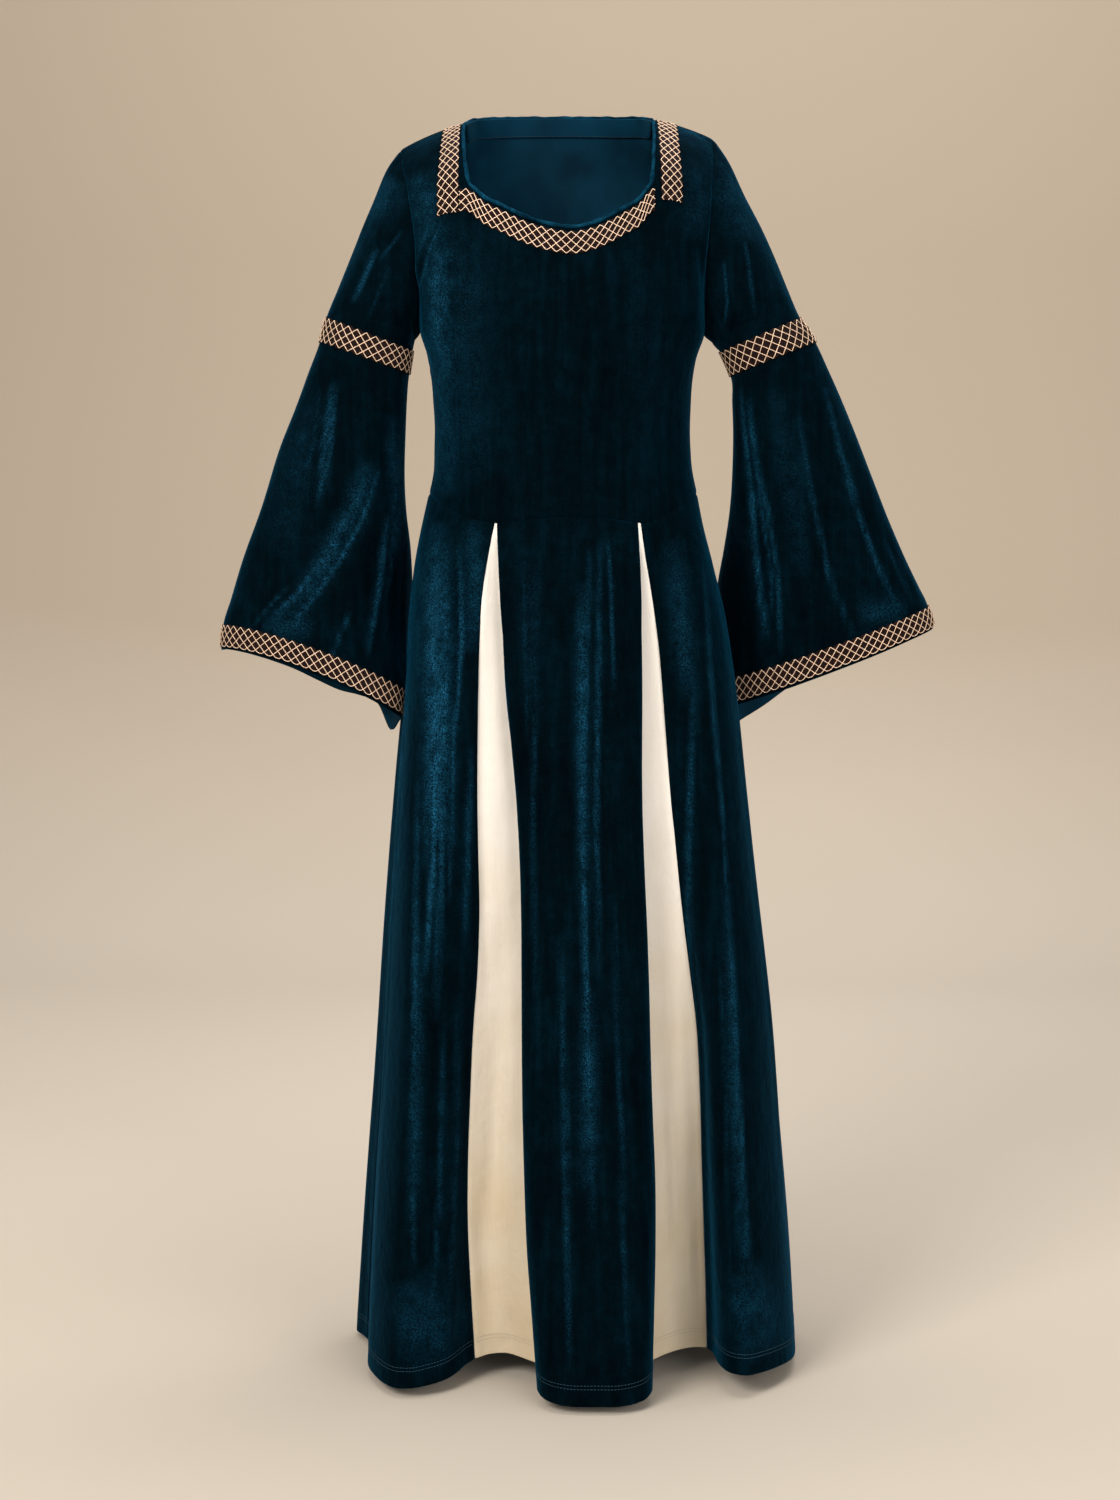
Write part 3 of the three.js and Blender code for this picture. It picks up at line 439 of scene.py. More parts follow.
def read(xs: np.ndarray, ys: np.ndarray, x: float) -> float:
    """Reads ys against rising xs smoothly, never past the values of the table.

    Args:
        xs: Rising places.
        ys: The value at each place.
        x: Where to read.

    Returns:
        The value there.
    """
    last = len(xs) - 1
    if x <= xs[0]:
        return float(ys[0])
    if x >= xs[last]:
        return float(ys[last])
    i = int(np.searchsorted(xs, x, side="left")) - 1
    slopes = np.diff(ys) / np.diff(xs)
    spans = np.diff(xs)

    def tangent(k: int) -> float:
        """Gives the slope at a place, flat at a peak."""
        if k == 0:
            return slopes[0]
        if k == last:
            return slopes[-1]
        before, after = slopes[k - 1], slopes[k]
        if before * after <= 0:
            return 0.0
        heavy = 2 * spans[k] + spans[k - 1]
        light = spans[k] + 2 * spans[k - 1]
        return (heavy + light) / (heavy / before + light / after)

    t = (x - xs[i]) / spans[i]
    t2, t3 = t * t, t * t * t
    start = (2 * t3 - 3 * t2 + 1) * ys[i] + (t3 - 2 * t2 + t) * spans[i] * tangent(i)
    return float(start + (3 * t2 - 2 * t3) * ys[i + 1] + (t3 - t2) * spans[i] * tangent(i + 1))


def point(x: float, y: float, drop: float) -> np.ndarray:
    """Makes a point from its place across, its depth and its drop."""
    return np.array([x, y, -drop])


def roundness(t: float, turn: float) -> float:
    """Says how far a section stands out at the share t of its half width.

    Args:
        t: The share of the half width.
        turn: The angle through which the section turns on the way to its edge, in degrees.

    Returns:
        1 on the centre line and 0 at the edge.
    """
    most = math.radians(turn)
    here = math.asin(min(abs(t), 1) * math.sin(most))
    return (math.cos(here) - math.cos(most)) / (1 - math.cos(most))


def crowned(low: np.ndarray, top: np.ndarray, share: float, crown: float, roll: float) -> np.ndarray:
    """Goes from a low point to a top point, first climbing and then leaning over.

    Args:
        low: The low point.
        top: The top point.
        share: The share of the way.
        crown: How much the climb slows towards the top, from 0 to 1.
        roll: How much the lean waits, from 0 to 1.

    Returns:
        The point.
    """
    climb = mix(share, math.sin(share * math.pi / 2), crown)
    lean = mix(share, 1 - math.cos(share * math.pi / 2), roll)
    return np.array([mix(a, b, t) for a, b, t in zip(low, top, (share, lean, climb))])


class BodiceForm:
    """The front and the back of the bodice as grids of points.

    A column counts from the wearer's right to the left, and a row from the waist up.
    """

    def edge(self, row: int, left: bool, face: str) -> np.ndarray:
        """Gives the side seam below the armpit and the armhole above it.

        Args:
            row: The row.
            left: Whether it is the edge on the wearer's left.
            face: Either front or back.

        Returns:
            The point.
        """
        if row <= TORSO_CELLS:
            foot = WAIST["drop"][-1] if left else WAIST["drop"][0]
            pit = self.pit(left)
            drop = mix(foot, pit, row / TORSO_CELLS)
            widths = TORSO["left" if left else "right"]
            out = widths[-1] if row == 0 else read(TORSO["drop"], widths, drop)
            return point(out if left else -out, SIDE_Y, drop)
        step = row - TORSO_CELLS
        side = "left" if left else "right"
        out = ARMHOLE[side][step]
        return point(out if left else -out, ARMHOLE[face][step], ARMHOLE[side + "Drop"][step])

    def pit(self, left: bool) -> float:
        """Gives the drop of the armpit."""
        return ARMHOLE["leftDrop" if left else "rightDrop"][0]

    def tips(self) -> tuple[float, float]:
        """Gives the angles at which the outer edges of the godets meet the waist."""
        right = math.asin(SKIRT["rGodet"][0] / TORSO["right"][-1])
        left = math.asin(SKIRT["lGodet"][0] / TORSO["left"][-1])
        return -math.degrees(right), math.degrees(left)

    def waist_angle(self, column: int) -> float:
        """Gives the angle round the body of a column at the waist, in degrees from the front."""
        right, left = self.tips()
        far = BODICE_CELLS - TIP_COLUMN
        if column <= TIP_COLUMN:
            return mix(-90, right, column / TIP_COLUMN)
        if column >= far:
            return mix(left, 90, (column - far) / TIP_COLUMN)
        return mix(right, left, (column - TIP_COLUMN) / (far - TIP_COLUMN))

    def column_x(self, column: int, row: int) -> float:
        """Gives the place of a column across the body at a row."""
        angle = math.radians(self.waist_angle(column))
        left = column > BODICE_CELLS / 2
        sign = 1 if left else -1
        index = BODICE_CELLS - column if left else column
        edge = abs(self.edge(row, left, "front")[0])
        if index == 0:
            return sign * edge
        inner = (index - STRAP_COLUMNS) / (NECK_CELLS / 2)
        corner = STRAP["corner"][STRAP_COLUMNS]
        if index <= STRAP_COLUMNS:
            level = sign * STRAP["corner"][index]
        else:
            level = mix(sign * corner, NECK_MIDDLE, inner)
        if row <= NECK_ROW:
            half = edge if math.sin(angle) > 0 else abs(self.edge(row, False, "front")[0])
            return mix(half * math.sin(angle), level, smoothstep(row, LEVEL_ROW, BAND_ROW))
        top = STRAP["leftTop" if left else "rightTop"]
        share = (row - NECK_ROW) / STRAP_CELLS
        return mix(level, sign * top[min(index, STRAP_COLUMNS)], share)

    def strap_shift(self, column: int, share: float) -> float:
        """Says how far a strap column has moved towards its top place."""
        index = min(column, BODICE_CELLS - column)
        return 1 - (1 - share) ** 3 if index == STRAP_COLUMNS else share

    def front_low(self, column: int, row: int) -> np.ndarray:
        """Gives a point of the front up to the neck edge."""
        x = self.column_x(column, row)
        left = x > 0
        edge = self.edge(row, left, "front")
        if column in (0, BODICE_CELLS):
            return edge
        share = abs(x) / abs(edge[0])
        if row <= TORSO_CELLS:
            drop = mix(read(WAIST["x"], WAIST["drop"], x), self.pit(left), row / TORSO_CELLS)
        else:
            neck = read(NECK["x"], NECK["drop"], x)
            band = neck + NECK_MARGIN + NECK_BAND
            if row <= BAND_ROW:
                drop = mix(self.pit(left), band, (row - TORSO_CELLS) / CHEST_CELLS)
            else:
                drop = neck + NECK_MARGIN if row == MARGIN_ROW else neck
            drop = mix(drop, -edge[2], smoothstep(share, FRONT_LEVEL, 1))
        turn = read(TORSO["drop"], TORSO["turn"], -edge[2])
        front = read(TORSO["drop"], TORSO["front"], drop)
        return point(x, mix(edge[1], front, roundness(share, turn)), drop)

    def shoulder(self, column: int) -> np.ndarray:
        """Gives a point of the shoulder seam."""
        left = column > BODICE_CELLS / 2
        index = BODICE_CELLS - column if left else column
        top = STRAP["leftTop" if left else "rightTop"]
        tip = self.edge(SHOULDER_ROW, left, "front")
        share = (top[index] - top[STRAP_COLUMNS]) / (top[0] - top[STRAP_COLUMNS])
        arch = SHOULDER_ARCH * 4 * share * (1 - share)
        neck_drop = 0 if left else RIGHT_SHOULDER_DROP
        return point(top[index] if left else -top[index], 0, mix(neck_drop, -tip[2], share) - arch)

    def front(self, column: int, row: int) -> np.ndarray:
        """Gives a point of the front."""
        if row <= NECK_ROW:
            return self.front_low(column, row)
        if RIGHT_NECK < column < LEFT_NECK:
            return np.full(3, np.nan)
        if column in (0, BODICE_CELLS):
            return self.edge(row, column > 0, "front")
        share = (row - NECK_ROW) / STRAP_CELLS
        low, top = self.front_low(column, NECK_ROW), self.shoulder(column)
        made = crowned(low, top, share, STRAP_CROWN, STRAP_ROLL)
        made[0] = mix(low[0], top[0], self.strap_shift(column, share))
        return made

    def back_top(self, column: int) -> np.ndarray:
        """Gives a point of the shoulder seam or of the back neck between the seams."""
        if column <= RIGHT_NECK or column >= LEFT_NECK:
            return self.shoulder(column)
        share = (column - RIGHT_NECK) / NECK_CELLS
        right, left = self.shoulder(RIGHT_NECK), self.shoulder(LEFT_NECK)
        around = math.pi * share
        across = mix(share, (1 - math.cos(around)) / 2, BACK_NECK_EVEN)
        base = mix(right[2], left[2], share)
        return np.array([
            mix(right[0], left[0], across),
            BACK_NECK_DEPTH * math.sin(around) ** BACK_NECK_ROUND,
            mix(base, BACK_NECK_RISE, math.sqrt(math.sin(around))),
        ])

    def back_low(self, column: int, row: int) -> np.ndarray:
        """Gives a point of the back up to the yoke."""
        x = self.column_x(column, row)
        left = x > 0
        edge = self.edge(row, left, "back")
        if column in (0, BODICE_CELLS):
            return edge
        share = abs(x) / abs(edge[0])
        foot = mix(-self.edge(0, left, "back")[2], BACK_WAIST, 1 - share * share)
        top = mix(BACK_STRAP_FOOT, -self.edge(NECK_ROW, left, "back")[2], share)
        if row <= TORSO_CELLS:
            drop = mix(foot, self.pit(left), row / TORSO_CELLS)
        else:
            drop = mix(self.pit(left), top, (row - TORSO_CELLS) / (NECK_ROW - TORSO_CELLS))
            drop = mix(drop, -edge[2], smoothstep(share, BACK_LEVEL, 1))
        turn = read(TORSO["drop"], TORSO["turn"], -edge[2])
        back = read(TORSO["drop"], TORSO["back"], drop)
        return point(x, mix(edge[1], back, roundness(share, turn)), drop)

    def back(self, column: int, row: int) -> np.ndarray:
        """Gives a point of the back."""
        if row <= NECK_ROW:
            return self.back_low(column, row)
        if column in (0, BODICE_CELLS):
            return self.edge(row, column > 0, "back")
        share = (row - NECK_ROW) / STRAP_CELLS
        low, top = self.back_low(column, NECK_ROW), self.back_top(column)
        away, down = abs(top[1] - low[1]), abs(top[2] - low[2])
        return crowned(low, top, share, BACK_CROWN * away / (away + down), BACK_ROLL)

    def grid(self, place: Callable[[int, int], np.ndarray]) -> Grid:
        """Makes the rows and columns of one face."""
        return np.array([
            [place(column, row) for column in range(BODICE_CELLS + 1)] for row in range(SHOULDER_ROW + 1)
        ])


class SleeveForm:
    """A bell sleeve, as rings that run from the armpit up the front and down the back."""

    def __init__(self, bodice: BodiceForm, left: bool) -> None:
        self.bodice = bodice
        self.left = left
        self.sections = LEFT_SLEEVE if left else RIGHT_SLEEVE

    def point(self, column: int, row: int) -> np.ndarray:
        """Gives a point of a ring."""
        turns = SHOULDER_ROW - TORSO_CELLS
        place = column % (2 * turns)
        step = place if place <= turns else 2 * turns - place
        facing = place <= turns
        hole = self.bodice.edge(TORSO_CELLS + step, self.left, "front" if facing else "back")
        if row == 0:
            return hole
        s = {name: column[row] for name, column in self.sections.items()}
        pit = self.bodice.edge(TORSO_CELLS, self.left, "front")
        tip = self.bodice.edge(SHOULDER_ROW, self.left, "front")
        low = (hole[2] - tip[2]) / (pit[2] - tip[2])
        bend = abs(hole[0]) - mix(abs(tip[0]), abs(pit[0]), low)
        angle = math.pi * step / turns
        forward = math.sin(angle) if facing else -math.sin(angle)
        oval = smoothstep(row, 0, BAND_TOP)
        inward = mix(low, (1 + math.cos(angle)) / 2, oval)
        out = mix(s["outX"], s["inX"], inward) + bend * (1 - oval)
        lift = s["rise"] * abs(forward) ** HEM_BOW * (1 if forward > 0 else BACK_RISE)
        hanging = read(BACK_HANG["inward"], BACK_HANG["left" if self.left else "right"], inward)
        hang = s["hang"] * hanging if forward < 0 else 0
        drop = mix(s["outDrop"], s["inDrop"], inward) + hang - lift
        behind = s["back"] + s["tuck"] * inward**TUCK_BEND
        y = mix(hole[1], behind - s["half"] * forward, oval)
        return point(out if self.left else -out, y, drop)

    def grid(self) -> Grid:
        """Makes all the rings."""
        around = 2 * (SHOULDER_ROW - TORSO_CELLS)
        rows = len(self.sections["half"])
        return np.array([[self.point(column, row) for column in range(around)] for row in range(rows)])


@dataclass(frozen=True)
class Panel:
    """A panel of the skirt between two of the keys that go round a section."""

    name: str
    start: int
    stop: int
    cells: int


PANELS = (
    Panel("skirt_side_right", 0, 4, SIDE_CELLS),
    Panel("godet_right", 4, 7, GODET_CELLS),
    Panel("skirt_centre", 7, 15, CENTRE_CELLS),
    Panel("godet_left", 15, 18, GODET_CELLS),
    Panel("skirt_side_left", 18, 22, SIDE_CELLS),
    Panel("skirt_back", 22, 34, BACK_CELLS),
)


def between(start: Key, stop: Key, way: str) -> Key:
    """Gives a key between two others.

    Args:
        start: The key it starts from.
        stop: The key it goes towards.
        way: The name of its shares in WAYS.

    Returns:
        The key.
    """
    return tuple(mix(a, b, share) for a, b, share in zip(start, stop, WAYS[way]))


def side_keys(wide: Key, fold: Key, seam: Key) -> list[Key]:
    """Gives the keys of a side panel from its side seam by its fold to the godet's seam."""
    return [wide, between(wide, fold, "side"), fold, between(fold, seam, "fold"), seam]


def godet_keys(
    seam: float, edge: float, tuck: float, godet_y: float, tuck_y: float, middle: Key
) -> list[Key]:
    """Gives the keys of a godet and of the half of the centre panel beside it.

    Args:
        seam: The place across of its seam with the side panel.
        edge: That of the centre panel's edge.
        tuck: How far the godet runs on behind that edge.
        godet_y: The depth of the godet.
        tuck_y: The depth of the seam behind the edge.
        middle: The key of the centre line.

    Returns:
        The keys from the side panel to the centre line.
    """
    first = (seam, godet_y, HEM["godet"])
    last = (edge, godet_y, HEM["godet"])
    behind = (edge, tuck_y, HEM["tuck"])
    bulge = (edge, tuck_y, HEM["bulge"])
    return [
        between(first, last, "godet"),
        between(last, behind, "edge"),
        between((edge + tuck, tuck_y, HEM["tuck"]), middle, "tuck"),
        between(bulge, middle, "bulge"),
        between(bulge, middle, "shoulder"),
        between(bulge, middle, "front"),
    ]


class SkirtForm:
    """The skirt as six panels between the waist seam and the hem."""

    def __init__(self, bodice: BodiceForm) -> None:
        self.bodice = bodice

    def waist(self, degrees: float) -> np.ndarray:
        """Gives the waist ring at an angle from the front."""
        angle = math.radians(degrees)
        left = math.sin(angle) > 0
        x = TORSO["left" if left else "right"][-1] * math.sin(angle)
        outward = math.cos(angle)
        if outward >= 0:
            y = mix(SIDE_Y, TORSO["front"][-1], outward)
            return point(x, y, read(WAIST["x"], WAIST["drop"], x))
        side = WAIST["drop"][-1] if left else WAIST["drop"][0]
        y = mix(SIDE_Y, TORSO["back"][-1], -outward)
        return point(x, y, mix(side, BACK_WAIST, outward * outward))

    def section(self, i: int) -> np.ndarray:
        """Gives the seams and folds at one section, round from the wearer's right by the front.

        Args:
            i: The number of the section.

        Returns:
            The keys, each with the drop of the hem there as its third number.
        """
        s = {name: column[i] for name, column in SKIRT.items()}
        d = {name: column[i] for name, column in SKIRT_DEPTH.items()}
        share = i / (len(SKIRT["drop"]) - 1)
        side_y = mix(SIDE_Y, HEM_SIDE_Y, share)
        middle = ((s["lCentre"] - s["rCentre"]) / 2, d["centre"], HEM["centre"])
        keys = side_keys(
            (-s["rSide"], side_y, HEM["side"]),
            (-s["rFold"], d["rFold"], HEM["rightFold"]),
            (-s["rGodet"], d["rSeam"], HEM["seam"]),
        )
        keys += godet_keys(-s["rGodet"], -s["rCentre"], d["tuck"], d["rGodet"], d["rTuck"], middle)
        keys.append(middle)
        keys += godet_keys(s["lGodet"], s["lCentre"], -d["tuck"], d["lGodet"], d["lTuck"], middle)[::-1]
        keys += side_keys(
            (s["lSide"], side_y, HEM["side"]),
            (s["lFold"], d["lFold"], HEM["leftFold"]),
            (s["lGodet"], d["lSeam"], HEM["seam"]),
        )[::-1]
        back_middle = (s["lSide"] - s["rSide"]) / 2
        half = (s["lSide"] + s["rSide"]) / 2
        for at, out in list(zip(BACK_FOLDS["at"], BACK_FOLDS["out"]))[1:-1]:
            angle = math.pi * at
            grow = 1 + out * share**FOLD_GROWTH / half
            x = back_middle + half * math.cos(angle) * grow
            keys.append((x, mix(side_y, d["back"], math.sin(angle) ** BACK_ROUND) * grow, HEM["back"]))
        return np.array(keys)

    def along(self, keys: np.ndarray, panel: Panel) -> np.ndarray:
        """Gives points at even lengths along the closed curve through the keys.

        Args:
            keys: The keys of a section.
            panel: The panel, whose stretch of the curve is taken.

        Returns:
            The points, one more than the panel has cells.
        """
        count, dense = len(keys), []
        for k in range(panel.start, panel.stop):
            p0, p1, p2, p3 = (keys[(k + offset) % count] for offset in (-1, 0, 1, 2))
            steps = ((p0, p1), (p1, p2), (p2, p3))
            d0, d1, d2 = (max(float(((b - a) ** 2).sum()) ** 0.25, TINY) for a, b in steps)
            start = ((p1 - p0) / d0 - (p2 - p0) / (d0 + d1) + (p2 - p1) / d1) * d1
            end = ((p2 - p1) / d1 - (p3 - p1) / (d1 + d2) + (p3 - p2) / d2) * d1
            t = np.arange(CURVE_STEPS)[:, None] / CURVE_STEPS
            square = -3 * p1 + 3 * p2 - 2 * start - end
            cube = 2 * p1 - 2 * p2 + start + end
            dense.append(p1 + start * t + square * t * t + cube * t * t * t)
        dense = np.vstack([*dense, keys[panel.stop % count][None]])
        length = np.r_[0, np.cumsum(np.hypot(*np.diff(dense[:, :2], axis=0).T))]
        wanted = np.linspace(0, length[-1], panel.cells + 1)
        return np.stack([np.interp(wanted, length, dense[:, axis]) for axis in range(3)], axis=1)

    def grids(self) -> dict[str, Grid]:
        """Makes the grid of every panel."""
        right, left = self.bodice.tips()
        tips = [-90, right, right + GODET_TIP, left - GODET_TIP, left, 90, 270]
        sections = [self.section(i) for i in range(1, len(SKIRT["drop"]))]
        found = {}
        for number, panel in enumerate(PANELS):
            angles = np.linspace(tips[number], tips[number + 1], panel.cells + 1)
            waist = np.array([self.waist(angle) for angle in angles])
            net = np.stack([waist, *(self.along(keys, panel) for keys in sections)])
            grid = np.empty((SKIRT_ROWS + 1, panel.cells + 1, 3))
            for row in range(SKIRT_ROWS + 1):
                share = (row / SKIRT_ROWS) ** ROW_SPREAD
                level = mix(SKIRT["drop"][0], SKIRT["drop"][-1], share)
                for cell in range(panel.cells + 1):
                    x = read(SKIRT["drop"], net[:, cell, 0], level)
                    y = read(SKIRT["drop"], net[:, cell, 1], level)
                    grid[row, cell] = point(x, y, mix(-waist[cell, 2], net[-1, cell, 2], share))
            found[panel.name] = grid
        return found


def spline(points: np.ndarray, stations: np.ndarray, wanted: np.ndarray) -> np.ndarray:
    """Runs a smooth curve through points at uneven stations.

    Args:
        points: The points, one for each station along the first axis.
        stations: The rising stations.
        wanted: The stations of the points to find.

    Returns:
        The points at the wanted stations.
    """
    spans = np.diff(stations)
    shape = (-1,) + (1,) * (points.ndim - 1)
    slopes = np.diff(points, axis=0) / spans.reshape(shape)
    tangents = np.empty_like(points)
    before, after = spans[:-1].reshape(shape), spans[1:].reshape(shape)
    tangents[1:-1] = (slopes[:-1] * after + slopes[1:] * before) / (before + after)
    tangents[0], tangents[-1] = slopes[0], slopes[-1]
    i = np.clip(np.searchsorted(stations, wanted, side="right") - 1, 0, len(spans) - 1)
    span = spans[i].reshape(shape)
    t = ((wanted - stations[i]) / spans[i]).reshape(shape)
    t2, t3 = t * t, t * t * t
    here = (2 * t3 - 3 * t2 + 1) * points[i] + (t3 - 2 * t2 + t) * span * tangents[i]
    return here + (3 * t2 - 2 * t3) * points[i + 1] + (t3 - t2) * span * tangents[i + 1]


def stations_of(grid: Grid) -> np.ndarray:
    """Gives the mean distance along the first axis of a grid."""
    steps = np.nanmean(np.linalg.norm(np.diff(grid, axis=0), axis=2), axis=1)
    return np.r_[0, np.cumsum(np.maximum(steps, 1e-3))]


@dataclass
class Surface:
    """A fine grid over a coarse one, with the coarse row and column of each of its points.

    Its columns close on themselves in a tube. Cells can be missing, and each point has a normal
    and the strength of the highlight painted on its pile.
    """

    points: Grid
    rows: np.ndarray
    columns: np.ndarray
    tube: bool = False
    flip: bool = False
    missing: np.ndarray | None = None
    pile: np.ndarray | None = None
    normals: Grid = field(init=False)

    def __post_init__(self) -> None:
        """Works out the normals."""
        self.measure()

    def measure(self) -> None:
        """Works out the outward normal of every point."""
        p = self.points
        if self.tube:
            across = np.roll(p, -1, axis=1) - np.roll(p, 1, axis=1)
        else:
            across = np.gradient(p, axis=1)
        up = np.gradient(p, axis=0)
        normal = np.cross(across, up)
        if self.flip:
            normal = -normal
        length = np.linalg.norm(normal, axis=2, keepdims=True)
        self.normals = normal / np.maximum(length, 1e-9)

    def where(self, rows: Sequence[float], columns: Sequence[float]) -> "Surface":
        """Cuts out the part between two coarse rows and two coarse columns."""
        r = (self.rows >= rows[0] - TINY) & (self.rows <= rows[1] + TINY)
        c = (self.columns >= columns[0] - TINY) & (self.columns <= columns[1] + TINY)
        cut = Surface(self.points[r][:, c], self.rows[r], self.columns[c], False, self.flip)
        cut.normals = self.normals[r][:, c]
        return cut


def finer(grid: Grid, cell: float, tube: bool = False) -> tuple[Grid, np.ndarray, np.ndarray]:
    """Runs a smooth surface through a coarse grid.

    Args:
        grid: The coarse grid.
        cell: The size of a fine cell.
        tube: Whether the columns close on themselves.

    Returns:
        The fine grid and the coarse row and column of each of its lines.
    """
    made = grid
    rows = fine_places(stations_of(made), cell)
    made = spline(made, stations_of(made), np.interp(rows, np.arange(len(grid)), stations_of(grid)))
    turned = made.transpose(1, 0, 2)
    if not tube:
        stations = stations_of(turned)
        columns = fine_places(stations, cell)
        found = spline(turned, stations, np.interp(columns, np.arange(len(stations)), stations))
        return found.transpose(1, 0, 2), rows, columns
    count = grid.shape[1]
    wrapped = np.concatenate([turned[-3:], turned, turned[:4]])
    stations = stations_of(wrapped)
    ring = stations[3:3 + count + 1]
    columns = fine_places(ring - ring[0], cell, ends=False)[:-1]
    found = spline(wrapped, stations, np.interp(columns, np.arange(count + 1), ring))
    return found.transpose(1, 0, 2), rows, columns


def fine_places(stations: np.ndarray, cell: float, ends: bool = True) -> np.ndarray:
    """Splits each step between stations into cells of about one size.

    Args:
        stations: The rising stations.
        cell: The size of a cell.
        ends: Whether smaller cells follow both ends, for the dip of a seam.

    Returns:
        The places of the fine lines, counted in coarse steps.
    """
    places = [0.0]
    for i, span in enumerate(np.diff(stations)):
        parts = max(1, round(span / cell))
        places += [i + (k + 1) / parts for k in range(parts)]
    if ends:
        near = np.array(SEAM_CELLS)
        total = stations[-1] - stations[0]
        extra = np.interp(np.r_[near, total - near], stations - stations[0], np.arange(len(stations)))
        places = np.r_[places, extra]
    return np.unique(np.round(places, 6))


class Face(Enum):
    """Which side of the gown a crease is on."""

    FRONT = (0, -1)
    BACK = (0, 1)
    RIGHT = (-1, 0)
    LEFT = (1, 0)


@dataclass(frozen=True)
class Crease:
    """A soft ridge, or a trough if its height is negative.

    Attributes:
        face: The side of the gown it is on.
        line: Places across and drops of the points that it runs through.
        wide: Its half width.
        high: How far it stands out.
        bright: The strength of the highlight painted over its width where the pile is brushed and lit, or 0
            for a highlight painted along its crest by its height.
    """

    face: Face
    line: tuple[tuple[float, float], ...]
    wide: float
    high: float
    bright: float = 0.0

    def reach(self, points: Grid, normals: Grid) -> tuple[np.ndarray, np.ndarray]:
        """Says how far each point is from the line, and how much of the crease it takes."""
        fx, fy = self.face.value
        facing = np.clip((normals[..., 0] * fx + normals[..., 1] * fy) * TURN_GAIN, 0, 1)
        across = points[..., 0] if fy else points[..., 1]
        place = np.stack([across, -points[..., 2]], axis=-1)
        line = np.array(self.line, dtype=float)
        lengths = np.linalg.norm(np.diff(line, axis=0), axis=1)
        starts = np.r_[0, np.cumsum(lengths)]
        best = np.full(place.shape[:-1], np.inf)
        along = np.zeros(place.shape[:-1])
        for i, length in enumerate(lengths):
            run = (line[i + 1] - line[i]) / length
            t = np.clip((place - line[i]) @ run, 0, length)
            away = np.linalg.norm(place - line[i] - t[..., None] * run, axis=-1)
            near = away < best
            best = np.where(near, away, best)
            along = np.where(near, (starts[i] + t) / starts[-1], along)
        taper = np.sin(np.pi * np.clip(along, 0, 1)) ** TAPER
        return best, facing * taper

    def lift(self, points: Grid, normals: Grid) -> tuple[np.ndarray, np.ndarray]:
        """Says how far each point is lifted, and how strong a highlight is painted on its pile."""
        away, share = self.reach(points, normals)
        lift = self.high * share * np.exp(-((away / self.wide) ** 2))
        crest = self.wide if self.bright else self.wide * CREST
        bright = self.bright or float(np.clip((abs(self.high) - CREST_LEAST) / CREST_FULL, 0, 1))
        return lift, bright * share * np.exp(-((away / crest) ** 2))


def seam_dip(surface: Surface, sides: str) -> np.ndarray:
    """Says how far each point sinks towards the sewn edges.

    Args:
        surface: The surface.
        sides: The sewn edges, by the letters of first row, last row, first and last column.

    Returns:
        The lifts, all of them zero or less.
    """
    p = np.nan_to_num(surface.points)
    down = np.linalg.norm(np.diff(p, axis=0, prepend=p[:1]), axis=2).cumsum(axis=0)
    across = np.linalg.norm(np.diff(p, axis=1, prepend=p[:, :1]), axis=2).cumsum(axis=1)
    away = {"f": down, "l": down[-1:] - down, "a": across, "z": across[:, -1:] - across}
    dips = [np.exp(-((away[side] / SEAM_WIDE) ** 2)) for side in sides]
    return -SEAM_DEEP * np.max(dips, axis=0) if dips else np.zeros(p.shape[:2])


@dataclass(frozen=True)
class Ripple:
    """The slight unevenness of hanging cloth, as a few crossing waves."""

    seed: int
    high: float
    shortest: float = 45.0
    longest: float = 160.0
    waves: int = 9

    def lift(self, points: Grid) -> np.ndarray:
        """Says how far each point is lifted."""
        chance = np.random.default_rng(self.seed)
        total = np.zeros(points.shape[:-1])
        for _ in range(self.waves):
            way = chance.normal(size=3) * (1.0, 1.0, UPRIGHT)
            way /= np.linalg.norm(way)
            length = chance.uniform(self.shortest, self.longest)
            total += np.sin(points @ way * (2 * math.pi / length) + chance.uniform(0, 6.28))
        return total * self.high / math.sqrt(self.waves)


def linear(hex_colour: str, alpha: float = 1.0) -> tuple[float, float, float, float]:
    """Turns an sRGB hex colour into a linear one."""
    values = [int(hex_colour[i:i + 2], 16) / 255 for i in (1, 3, 5)]
    found = [v / 12.92 if v <= 0.04045 else ((v + 0.055) / 1.055) ** 2.4 for v in values]
    return (*found, alpha)


def per_metre(size: float) -> float:
    """Turns the size of a grain in millimetres into the scale of a texture."""
    return 1 / (size * MM)


